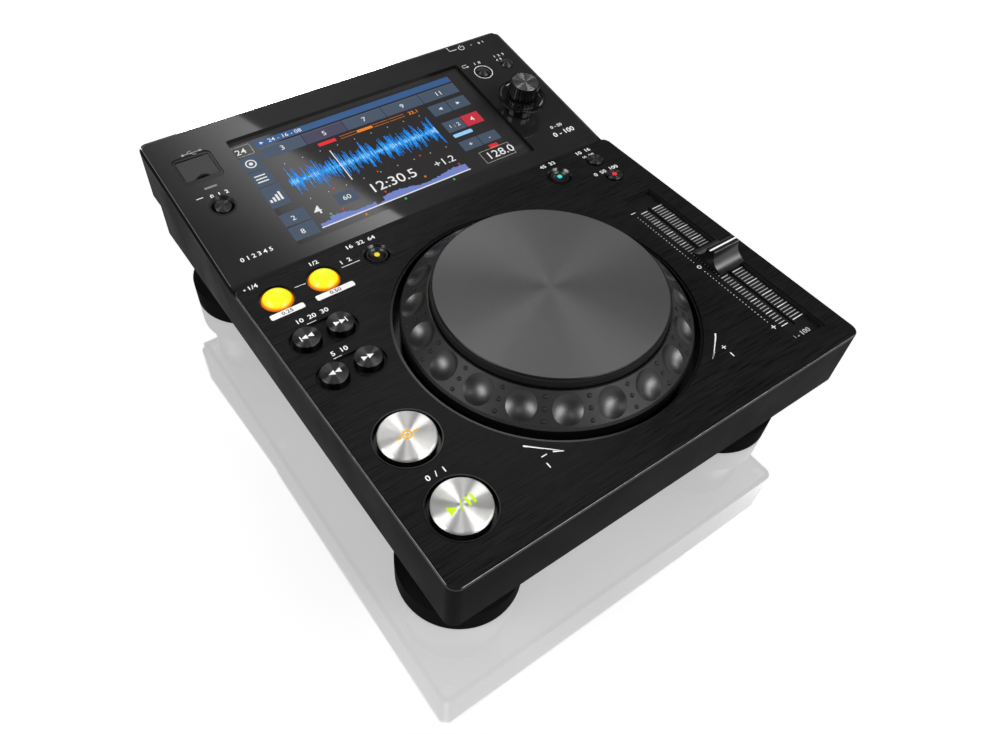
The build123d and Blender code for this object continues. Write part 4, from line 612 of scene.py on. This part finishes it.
# a minus at the rear end, a plus at the front end, a ring in the middle and dots between them
fader_scale = Ink()
fader_scale.bar(196.5, 120.3, 3.0, 0.45)
fader_scale.bar(196.6, 24.4, 2.6, 0.45)
fader_scale.bar(197.7, 23.3, 0.45, 2.6)
fader_scale.ring(FADER_X, FADER_MIDDLE, 1.15, 0.75)
for step in range(2, 24):
    fader_scale.ring(FADER_X, FADER_MIDDLE + TICK_PITCH * step, 0.26, steps=10)
    fader_scale.ring(FADER_X, FADER_MIDDLE - TICK_PITCH * step, 0.26, steps=10)
fader_scale.lay("fader_scale", deck, print_white)

# two combs of short lines on the tray's floor, on either side of the knob's slot
tray_lift = PRINT_LIFT + height_on("fader_tray", at(deck, 206.0, 75.0))
ticks = Ink()
long_ticks = Ink()
for step in range(-25, 26):
    foot = FADER_MIDDLE - 0.6 + TICK_PITCH * step - TICK_STROKE / 2
    is_long = step % 5 == 0
    reach = 0.8 if is_long else 0.0
    chosen = long_ticks if is_long else ticks
    chosen.bar(203.7 - reach, foot, 4.6 + reach, TICK_STROKE)
    chosen.bar(211.9, foot, 6.6 + reach, TICK_STROKE)
ticks.lay("fader_ticks", deck, print_grey, lift=tray_lift)
long_ticks.lay("fader_long_ticks", deck, print_white, lift=tray_lift)
tray_number = Ink().number("0 - 100", 208.2, 14.6, DIGIT, "CENTER")
tray_number.lay("fader_number", deck, print_grey, lift=tray_lift)

knob_low, knob_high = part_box("fader_knob")
knob_middle = (knob_low + knob_high) / 2
knob_top = Matrix.Translation((knob_middle.x, knob_middle.y, knob_high.z)) @ Matrix.Scale(MM, 4)
Ink().bar(-9.6, -0.45, 19.2, 0.9).lay("fader_knob_line", knob_top, print_white, "fader")

# ------------------------------------------------------------------ button icons
# the track and search buttons stand in pairs, the cue and play discs on the same line
PAIR_X = 23.0
PAIR_PITCH = 16.9


def skip_icon(side, with_bar):
    """Two arrows to the side, 1 or -1, and for a track button a bar where they point."""
    ink = Ink()
    for offset in (-2.0, 0.9):
        ink.arrow(side * offset, 0, 1.75, 0 if side > 0 else pi)
    if with_bar:
        ink.bar(side * 2.9 - 0.22, -1.6, 0.45, 3.2)
    return ink


for name, y, side, with_bar in (
    ("track_back", 134.0, -1, True),
    ("track_forward", 134.0, 1, True),
    ("search_back", 109.6, -1, False),
    ("search_forward", 109.6, 1, False),
):
    place = at(deck, PAIR_X + side * PAIR_PITCH / 2, y)
    lift = height_on(f"{name}_button", place) + PRINT_LIFT
    skip_icon(side, with_bar).lay(f"{name}_icon", place, print_white, name, lift)

amber = lit("light_amber", (1.0, 0.52, 0.02))
lime = lit("light_lime", (0.62, 0.95, 0.0))
cue_place = at(deck, PAIR_X, 65.5)
play_place = at(deck, PAIR_X, 27.0)
cue_icon = Ink()
cue_icon.ring(0, 0, 2.3, 1.5)
cue_icon.ring(0, 0, 0.7)
cue_icon.bar(-5.0, -0.45, 2.0, 0.9)
cue_icon.bar(3.0, -0.45, 2.0, 0.9)
cue_icon.lay("cue_icon", cue_place, amber, "cue", height_on("cue_disc", cue_place) + PRINT_LIFT)
play_icon = Ink()
play_icon.polygon([(-6.2, -2.2), (-2.4, 0), (-6.2, 2.2)])
play_icon.stroke([(-1.6, -2.6), (0.6, 2.6)], (0.5, 0.5))
play_icon.bar(2.0, -2.2, 1.2, 4.4)
play_icon.bar(4.4, -2.2, 1.2, 4.4)
play_icon.lay("play_icon", play_place, lime, "play", height_on("play_disc", play_place) + PRINT_LIFT)

# ------------------------------------------------------------------ selector knob's spun face
KNOB_SPOT = (85.8, 43.7)
FACE_RADIUS = 7.6
FACE_THICK = 0.06
knob_place = at(panel, *KNOB_SPOT)
knob_face = knob_place @ Matrix.Translation((0, 0, height_on("selector_knob", knob_place)))
face_profile = ((FACE_RADIUS, 0.0), (FACE_RADIUS - 0.2, FACE_THICK), (0.0, FACE_THICK))
face_metal = spun("face_turned", (0.18, 0.18, 0.182), 0.42, rings=110, metallic=1.0, anisotropic=1.0)
revolved("selector_face", [knob_face], face_profile, face_metal.material, "selector_push")

# ------------------------------------------------------------------ small lights in the dished rings
dot_profile = ((1.35, -0.2), (1.35, 0.1), (1.15, 0.32), (0.75, 0.5), (0.0, 0.58))
for name, x, y, colour in (
    ("vinyl", 185.7, 166.0, (0.05, 0.75, 0.85)),
    ("reloop", 69.7, 165.8, (0.9, 0.7, 0.02)),
    ("master", 211.5, 150.4, (0.9, 0.02, 0.04)),
):
    place = at(deck, x, y)
    foot = Matrix.Translation((0, 0, height_on(f"{name}_button", place)))
    revolved(f"{name}_light", [place @ foot], dot_profile, lit(f"light_{name}", colour), name, 24)

# ------------------------------------------------------------------ jog wheel
DIMPLES = 20
DIMPLE_RADIUS = 7.3
DIMPLE_SPHERE = 12.74
DIMPLE_PHASE = radians(4.6)
DIMPLE_STEP = tau / DIMPLES
RIM_POINTS = 48
RIM_THICK = 0.09
jog = at(deck, JOG_MIDDLE.x, JOG_MIDDLE.y)
dimple_middle = Vector((61.8, 0, 7.1))
sphere_middle = dimple_middle + CONE_OUTWARD * sqrt(DIMPLE_SPHERE**2 - DIMPLE_RADIUS**2)


def on_cone(along, across):
    """The point of the jog wheel's cone at these distances from the dimple's middle."""
    point = dimple_middle + CONE_SLOPE * along
    angle = across / point.x
    return Vector((point.x * cos(angle), point.x * sin(angle), point.z))


def rim_point(angle):
    """Where the dimple's sphere meets the cone, in the angle's direction."""
    near, far = 5.0, 10.0
    for _ in range(24):
        reach = (near + far) / 2
        point = on_cone(reach * cos(angle), reach * sin(angle))
        if (point - sphere_middle).length < DIMPLE_SPHERE:
            near = reach
        else:
            far = reach
    return on_cone(near * cos(angle), near * sin(angle))


# painted highlight: thin light grey tubes round each dimple's rim stand in for the light along its edge
rim_highlights = bpy.data.curves.new("jog_dimple_rim_highlights", "CURVE")
rim_highlights.dimensions = "3D"
rim_highlights.bevel_resolution = 1
rim = [rim_point(tau * index / RIM_POINTS) for index in range(RIM_POINTS)]
for index in range(DIMPLES):
    turn = Matrix.Rotation(DIMPLE_PHASE + DIMPLE_STEP * index, 4, "Z")
    loop = rim_highlights.splines.new("POLY")
    loop.points.add(len(rim) - 1)
    loop.use_cyclic_u = True
    for point, spot in zip(loop.points, rim):
        point.co = (*(turn @ spot), 1)
rim_highlights.transform(jog)
rim_highlights.bevel_depth = RIM_THICK * MM
rim_highlight_paint = moulded("rim_highlight", (0.05, 0.05, 0.052), 0.25, specular=0.8, depth=2 * MICRON)
rim_highlights.materials.append(rim_highlight_paint)
rim_highlight_piece = bpy.data.objects.new("jog_dimple_rim_highlights", rim_highlights)
scene.collection.objects.link(rim_highlight_piece)
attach(rim_highlight_piece, "jog")

stud_profile = ((1.0, -0.15), (0.95, 0.2), (0.6, 0.5), (0.0, 0.6))
stud_lean = Matrix.Rotation(atan2(CONE_OUTWARD.x, CONE_OUTWARD.z), 4, "Y")
stud_seats = [Matrix.Translation(on_cone(along, 0)) @ stud_lean for along in (-4.9, 0.3, 5.5)]
stud_places = []
for index in range(DIMPLES):
    turn = Matrix.Rotation(DIMPLE_PHASE + DIMPLE_STEP * (index + 0.5), 4, "Z")
    stud_places.extend(jog @ turn @ seat for seat in stud_seats)
revolved("jog_studs", stud_places, stud_profile, materials["jog_gloss"], "jog", 14)

# ------------------------------------------------------------------ marks on the tilted panel
POWER_SPOT = (86.0, 104.0)
BACK_SPOT = (85.7, 79.8)
panel_marks = Ink()
# power sign with its leader, the back button's ring and bent arrow, a dash by the USB lid
panel_marks.ring(*POWER_SPOT, 2.0, 1.6, radians(115), radians(425))
panel_marks.bar(POWER_SPOT[0] - 0.2, POWER_SPOT[1] + 0.4, 0.4, 2.2)
panel_marks.stroke([(77.4, 108.0), (77.4, 104.0), (82.6, 104.0)], (0.45, 0.45))
panel_marks.ring(*BACK_SPOT, 5.75, 5.3)
panel_marks.stroke([(79.8, 89.6), (76.6, 89.6), (76.6, 87.6), (79.0, 87.6)], (0.35, 0.35))
panel_marks.arrow(79.6, 87.6, 0.9)
panel_marks.bar(-104.6, 61.2, 3.4, 0.45)
for text, x, y, height in (
    ("0  1", 100.2, 102.6, 1.7),
    ("1  0", 86.6, 87.2, 1.9),
    ("1  2  3", 103.3, 87.8, 1.8),
    ("4  5", 101.2, 84.6, 1.6),
    ("0 - 50", 97.5, 21.8, 2.1),
    ("0 - 100", 98.7, 15.4, 3.2),
    ("0  1  2", -93.0, 59.0, 2.3),
    ("0 1 2 3 4 5", -94.7, 15.4, 2.4),
):
    panel_marks.number(text, x, y, height, "CENTER")
panel_marks.lay("panel_marks", panel, print_white)
# plug sign over the USB lid
panel_grey = Ink()
panel_grey.stroke([(-97.8, 92.4), (-88.6, 92.4)], (0.3, 0.3))
panel_grey.ring(-97.8, 92.4, 0.7)
panel_grey.arrow(-88.2, 92.4, 0.9)
panel_grey.stroke([(-95.6, 92.4), (-94.2, 93.9), (-92.6, 93.9)], (0.3, 0.3))
panel_grey.stroke([(-93.8, 92.4), (-92.4, 90.9), (-91.0, 90.9)], (0.3, 0.3))
panel_grey.lay("panel_grey_marks", panel, print_grey)

# painted highlight: a thin light grey strip for the line of light on the tilted panel's edge, kept just
# inside the CAD box
PANEL_HALF = 114.3
PANEL_REAR = 108.07
PANEL_CORNER = 3.8
EDGE_SHARE = 0.998
EDGE_BACK = 0.25
edge_line = [(-PANEL_HALF, 5.0)]
for side, first in ((-1, pi), (1, pi / 2)):
    middle_x = side * (PANEL_HALF - PANEL_CORNER)
    middle_y = PANEL_REAR - PANEL_CORNER
    for step in range(7):
        angle = first - step * pi / 12
        point = (middle_x + PANEL_CORNER * cos(angle), middle_y + PANEL_CORNER * sin(angle))
        edge_line.append(point)
edge_line.append((PANEL_HALF, 5.0))
edge_highlight_paint = moulded("panel_rim_highlight", (0.10, 0.10, 0.10), 0.4, spread=0.05, depth=2 * MICRON)
edge_highlight_ink = Ink().stroke([(EDGE_SHARE * x, y - EDGE_BACK) for x, y in edge_line], (0.3, 0.3))
edge_highlight_ink.lay("panel_rim_highlight_line", panel, edge_highlight_paint)

# ------------------------------------------------------------------ display
slate = lit("screen_slate", (0.060, 0.088, 0.135))
slate_edge = lit("screen_slate_edge", (0.10, 0.14, 0.20))
blue_bar = lit("screen_blue", (0.035, 0.105, 0.26))
purple = lit("screen_purple", (0.060, 0.055, 0.105))
deep_blue = lit("screen_wave_deep", (0.0, 0.20, 0.72))
mid_blue = lit("screen_wave_mid", (0.02, 0.37, 0.90))
pale_blue = lit("screen_wave_pale", (0.30, 0.62, 0.95))
lavender = lit("screen_lavender", (0.16, 0.22, 0.55))
red = lit("screen_red", (0.80, 0.02, 0.03))
red_button = lit("screen_red_button", (0.55, 0.03, 0.05))
orange = lit("screen_orange", (0.85, 0.22, 0.01))
green = lit("screen_green", (0.02, 0.62, 0.08))

TITLE_LEFT = 18.5
Ink().bar(TITLE_LEFT, 71.2, 125.8, 4.6).lay("screen_title_bar", screen, blue_bar)

TAB_NUMBERS = ("3", "5", "7", "9", "11")
TAB_CHOSEN = 1
TAB_PITCH = 25.2
TAB_WIDTH = TAB_PITCH - 0.4
tabs = Ink()
tab_edges = Ink()
tab_chosen = Ink()
for index in range(len(TAB_NUMBERS)):
    left = TITLE_LEFT + index * TAB_PITCH
    tab = tab_chosen if index == TAB_CHOSEN else tabs
    tab.bar(left, 61.6, TAB_WIDTH, 8.0)
    tab_edges.bar(left, 69.6, TAB_WIDTH, 0.35)
tabs.lay("screen_tabs", screen, slate)
tab_edges.lay("screen_tab_edges", screen, slate_edge)
tab_chosen.lay("screen_tab_chosen", screen, purple)

screen_buttons = Ink()
for spot in (
    (4.3, 56.4, 12.2, 11.0),
    (4.3, 44.6, 12.2, 11.0),
    (4.3, 28.6, 12.2, 15.2),
    (4.3, 14.8, 15.6, 8.6),
    (4.3, 4.6, 15.6, 9.2),
    (37.2, 15.2, 11.8, 8.4),
    (118.8, 49.6, 12.2, 8.8),
    (131.5, 49.6, 12.4, 8.8),
    (118.8, 34.8, 12.2, 8.8),
    (118.8, 18.8, 12.2, 7.6),
    (131.5, 18.8, 12.4, 7.6),
):
    screen_buttons.bar(*spot)
screen_buttons.lay("screen_buttons", screen, slate)
Ink().bar(131.5, 34.8, 11.6, 8.8).lay("screen_red_button", screen, red_button)
Ink().pill(119.4, 30.2, 12.6, 2.6, 0.6).lay("screen_pill", screen, pale_blue)
Ink().bar(4.3, 44.8, 1.1, 10.6).lay("screen_green_bar", screen, green)
Ink().bar(133.2, 14.6, 5.6, 2.6).lay("screen_red_label", screen, red)

screen_rows = [
    ("24", 9.6, 70.2, 3.8, "CENTER"),
    ("24 - 16 - 08", 26.0, 72.2, 2.6, "LEFT"),
    ("2", 12.1, 17.4, 3.0, "CENTER"),
    ("8", 12.1, 7.6, 3.0, "CENTER"),
    ("60", 43.1, 17.6, 3.0, "CENTER"),
    ("4", 137.3, 37.6, 3.2, "CENTER"),
    ("1 : 2", 124.9, 37.8, 2.6, "CENTER"),
    ("+", 124.9, 21.0, 3.0, "CENTER"),
    ("-", 137.7, 21.0, 3.0, "CENTER"),
    ("4", 23.0, 15.2, 5.6, "LEFT"),
    ("12:30.5", 56.0, 15.2, 6.2, "LEFT"),
    ("+1.2", 97.0, 15.6, 4.6, "LEFT"),
    ("128.0", 127.0, 7.4, 5.2, "LEFT"),
]
for index, text in enumerate(TAB_NUMBERS):
    screen_rows.append((text, 30.6 + index * TAB_PITCH, 64.0, 3.2, "CENTER"))
screen_text = Ink()
for text, x, y, height, align in screen_rows:
    screen_text.number(text, x, y, height, align, bold=0.004)
# signs: an arrow in the title, a disc, lines and steps on the left, arrows on the right
screen_text.arrow(22.2, 73.5, 1.3)
screen_text.ring(10.4, 61.9, 3.0, 2.3)
screen_text.ring(10.4, 61.9, 1.1)
for step in range(3):
    screen_text.bar(7.4, 47.6 + 2.2 * step, 6.2, 0.8)
for step in range(4):
    screen_text.bar(7.0 + 2.0 * step, 32.6, 1.2, 2.0 + 1.3 * step)
screen_text.arrow(125.4, 54.0, 1.5, pi)
screen_text.arrow(137.2, 54.0, 1.5)
screen_text.lay("screen_numbers", screen, white_light, lift=2 * PRINT_LIFT)

THIN = 0.25
frames = Ink()
for x, y, width, height in ((3.6, 68.4, 12.5, 7.6), (124.6, 5.4, 20.0, 9.2)):
    for low in (y, y + height - THIN):
        frames.bar(x, low, width, THIN)
    for left in (x, x + width - THIN):
        frames.bar(left, y, THIN, height)
frames.lay("screen_frames", screen, print_grey)

# waveform: bars of seeded random height under a few slow swells, in three layers, each with its
# paint, its share of the full height, its lift and how often it has a bar
WAVE_LEFT = 22.0
WAVE_RIGHT = 113.5
WAVE_MIDDLE = 40.5
WAVE_BARS = 210
dice = random.Random(7)
wave_layers = [
    (Ink(), deep_blue, 1.0, 0.02, 1.0),
    (Ink(), mid_blue, 0.66, 0.03, 0.7075),
    (Ink(), pale_blue, 0.24, 0.04, 0.415),
]
wave_step = (WAVE_RIGHT - WAVE_LEFT) / WAVE_BARS
for index in range(WAVE_BARS):
    x = WAVE_LEFT + index * wave_step
    swell = 0.42 + 0.30 * sin(index * 0.37) ** 2 + 0.28 * sin(index * 0.093 + 1.0) ** 2
    tall = 12.0 * swell * dice.uniform(0.2, 1.0) ** 1.3
    low = tall * dice.uniform(0.8, 1.15)
    for ink, _, share, _, chance in wave_layers:
        if dice.random() < chance:
            ink.bar(x, WAVE_MIDDLE - low * share, wave_step * 0.92, (tall + low) * share)
for number, (ink, paint, _, lift, _) in enumerate(wave_layers):
    ink.lay(f"screen_wave_{number}", screen, paint, lift=lift)
Ink().bar(51.6, 28.5, 0.6, 24.0).lay("screen_playhead", screen, white_light, lift=0.06)

dots = Ink()
for index in range(9):
    for y in (26.6, 54.4):
        dots.ring(26.0 + index * 10.6, y, 0.28, steps=8)
dots.lay("screen_beat_dots", screen, white_light)

SEGMENT_LEFT = 62.0
SEGMENT_PITCH = 10.5
SEGMENT_WIDTH = 9.8
segments = Ink()
for index in range(4):
    left = SEGMENT_LEFT + index * SEGMENT_PITCH
    segments.bar(left, 57.6, SEGMENT_WIDTH, THIN)
    segments.bar(left, 59.4, SEGMENT_WIDTH, THIN)
segments.bar(SEGMENT_LEFT + SEGMENT_PITCH, 57.6, SEGMENT_WIDTH, 2.0)
segments.number("32.1", 106.0, 57.4, 2.4)
segments.lay("screen_segments", screen, orange)
counter = Ink()
counter.bar(48.5, 57.4, 10.6, 2.4)
for index in range(3):
    counter.arrow(40.0 + 27.0 * index, 27.6, 0.9, pi / 2)
counter.lay("screen_counter", screen, red)

# overview: a filled profile over a white base line, with small coloured markers
OVERVIEW_STEPS = 70
overview = Ink()
overview_step = 91.0 / OVERVIEW_STEPS
for index in range(OVERVIEW_STEPS):
    is_quiet = index < 5 or 24 < index < 29
    swing = 3.4 + 1.3 * sin(index * 0.21 + 0.6) - (2.2 if is_quiet else 0.0)
    level = swing + dice.uniform(-0.35, 0.35)
    overview.bar(WAVE_LEFT + index * overview_step, 6.8, overview_step, level)
overview.lay("screen_overview", screen, lavender)
Ink().bar(21.6, 6.1, 92.0, 0.7).lay("screen_overview_base", screen, white_light, lift=0.05)
for name, paint, spots in (
    ("green", green, ((30.0, 12.6), (70.0, 4.2), (101.0, 4.2))),
    ("orange", orange, ((46.0, 4.2), (88.0, 12.8))),
    ("red", red, ((37.0, 12.8), (63.0, 13.0), (110.0, 12.4))),
):
    markers = Ink()
    for x, y in spots:
        is_above = y > 8
        markers.arrow(x, y, 1.0, -pi / 2 if is_above else pi / 2)
    markers.lay(f"screen_markers_{name}", screen, paint, lift=0.06)

# ------------------------------------------------------------------ floor, light and camera
FLOOR_HALF = 6.0
FLOOR_GLOW = 0.38
FLOOR_DIFFUSE = 0.16


def floor_paint():
    """Pale floor. The camera sees it white and polished, with a soft shadow; mirrors see it white."""
    paint = Paint("studio_floor", colour=(0.80, 0.80, 0.80), rough=0.6)
    rays = paint.node("LightPath")
    in_mirrors = paint.math("MAXIMUM", rays.outputs["Is Glossy Ray"], rays.outputs["Is Transmission Ray"])
    grain = paint.noise((30, 30, 30), 2)
    mirror = paint.node("BsdfGlossy")
    mirror.inputs["Color"].default_value = (1, 1, 1, 1)
    paint.link(paint.span(grain, 0.035, 0.055), mirror.inputs["Roughness"])
    polish = paint.node("AddShader")
    deep_polish = paint.node("AddShader")
    glow = paint.node("Emission")
    glow.inputs["Strength"].default_value = FLOOR_GLOW
    matt = paint.node("BsdfDiffuse")
    matt.inputs["Color"].default_value = (FLOOR_DIFFUSE, FLOOR_DIFFUSE, FLOOR_DIFFUSE, 1)
    backing = paint.node("AddShader")
    seen = paint.node("AddShader")
    white = paint.node("Emission")
    for_camera = paint.node("MixShader")
    final = paint.node("MixShader")
    for source, made, socket in (
        (mirror, polish, 0),
        (mirror, polish, 1),
        (glow, backing, 0),
        (matt, backing, 1),
        (polish, deep_polish, 0),
        (polish, deep_polish, 1),
        (deep_polish, seen, 0),
        (backing, seen, 1),
        (paint.shader, for_camera, 1),
        (seen, for_camera, 2),
        (for_camera, final, 1),
        (white, final, 2),
        (final, paint.tree.nodes["Material Output"], 0),
    ):
        paint.link(source.outputs[0], made.inputs[socket])
    paint.link(rays.outputs["Is Camera Ray"], for_camera.inputs[0])
    paint.link(in_mirrors, final.inputs[0])
    return paint.material


floor_mesh = bpy.data.meshes.new("floor")
floor_corners = [(FLOOR_HALF * x, FLOOR_HALF * y, 0) for x, y in ((-1, -1), (1, -1), (1, 1), (-1, 1))]
floor_mesh.from_pydata(floor_corners, [], [(0, 1, 2, 3)])
floor_mesh.materials.append(floor_paint())
floor = bpy.data.objects.new("floor", floor_mesh)
scene.collection.objects.link(floor)

# the studio round it: white up to just over the horizon, then falling to a dim grey overhead
world = bpy.data.worlds.new("studio")
scene.world = world
world.use_nodes = True
tree = world.node_tree
split = tree.nodes.new("ShaderNodeSeparateXYZ")
tree.links.new(tree.nodes.new("ShaderNodeTexCoord").outputs["Generated"], split.inputs["Vector"])
sky = tree.nodes.new("ShaderNodeValToRGB")
sky.color_ramp.elements[0].position = 0.06
sky.color_ramp.elements[0].color = (1, 1, 1, 1)
sky.color_ramp.elements[1].position = 1.0
sky.color_ramp.elements[1].color = (0.10, 0.10, 0.10, 1)
haze = sky.color_ramp.elements.new(0.3)
haze.color = (0.17, 0.17, 0.17, 1)
tree.links.new(split.outputs["Z"], sky.inputs["Fac"])
tree.links.new(sky.outputs["Color"], tree.nodes["Background"].inputs["Color"])


def softbox(name, position, target, size, power, roll=0.0, spread=180):
    """A rectangular lamp at the position, facing the target and turned by the roll in degrees."""
    light = bpy.data.lights.new(name, "AREA")
    light.shape = "RECTANGLE"
    light.size, light.size_y = size
    light.energy = power
    light.spread = radians(spread)
    lamp = bpy.data.objects.new(name, light)
    lamp.location = position
    facing = (Vector(target) - Vector(position)).to_track_quat("-Z", "Y")
    lamp.rotation_euler = (facing @ Euler((0, 0, radians(roll))).to_quaternion()).to_euler()
    scene.collection.objects.link(lamp)
    return lamp


def fade_across(lamp, dark, bright):
    """Makes the lamp's light rise smoothly along its short side, from the share dark to bright."""
    lamp.data.use_nodes = True
    tree = lamp.data.node_tree
    across = tree.nodes.new("ShaderNodeSeparateXYZ")
    place = tree.nodes.new("ShaderNodeNewGeometry")
    tree.links.new(place.outputs["Parametric"], across.inputs["Vector"])
    fade = tree.nodes.new("ShaderNodeMapRange")
    fade.interpolation_type = "SMOOTHERSTEP"
    fade.inputs["From Min"].default_value = dark
    fade.inputs["From Max"].default_value = bright
    tree.links.new(across.outputs["Y"], fade.inputs["Value"])
    tree.links.new(fade.outputs["Result"], tree.nodes["Emission"].inputs["Strength"])


MIDDLE = (0, 0, 0.07)
softbox("softbox_left", (-1.09, 0.15, 0.93), MIDDLE, (0.8, 0.45), 15)
softbox("softbox_front", (0.38, -1.04, 0.93), MIDDLE, (0.8, 0.45), 15)
softbox("softbox_right", (0.92, -0.56, 0.95), MIDDLE, (0.5, 0.3), 4)
softbox("softbox_top", (-0.38, -0.48, 1.33), MIDDLE, (0.3, 0.2), 1.5)
softbox("softbox_rear", (0.43, 1.18, 0.70), MIDDLE, (0.5, 0.25), 1.6)
# a dim card whose sharp edge lies across the panel and the display as a slanting reflection
overhead = softbox(
    "softbox_overhead", (0.285, 0.690, 1.230), (-0.510, 0.007, 0.156), (1.0, 0.35), 0.8, -11.2, 50
)
fade_across(overhead, 0.85, -0.2)

# the photograph's camera, solved from the body's straight edges and the circles on it
CAMERA_SPOT = (-0.19138, -0.23998, 0.34875)
CAMERA_ANGLES = (39.3574, -2.4568, -35.2850)
camera_data = bpy.data.cameras.new("camera")
camera_data.sensor_width = 36
camera_data.lens = 29.25
camera_data.shift_x = 0.0331
camera_data.shift_y = 0.0092
camera = bpy.data.objects.new("camera", camera_data)
camera.location = CAMERA_SPOT
camera.rotation_euler = Euler([radians(angle) for angle in CAMERA_ANGLES])
scene.collection.objects.link(camera)
scene.camera = camera
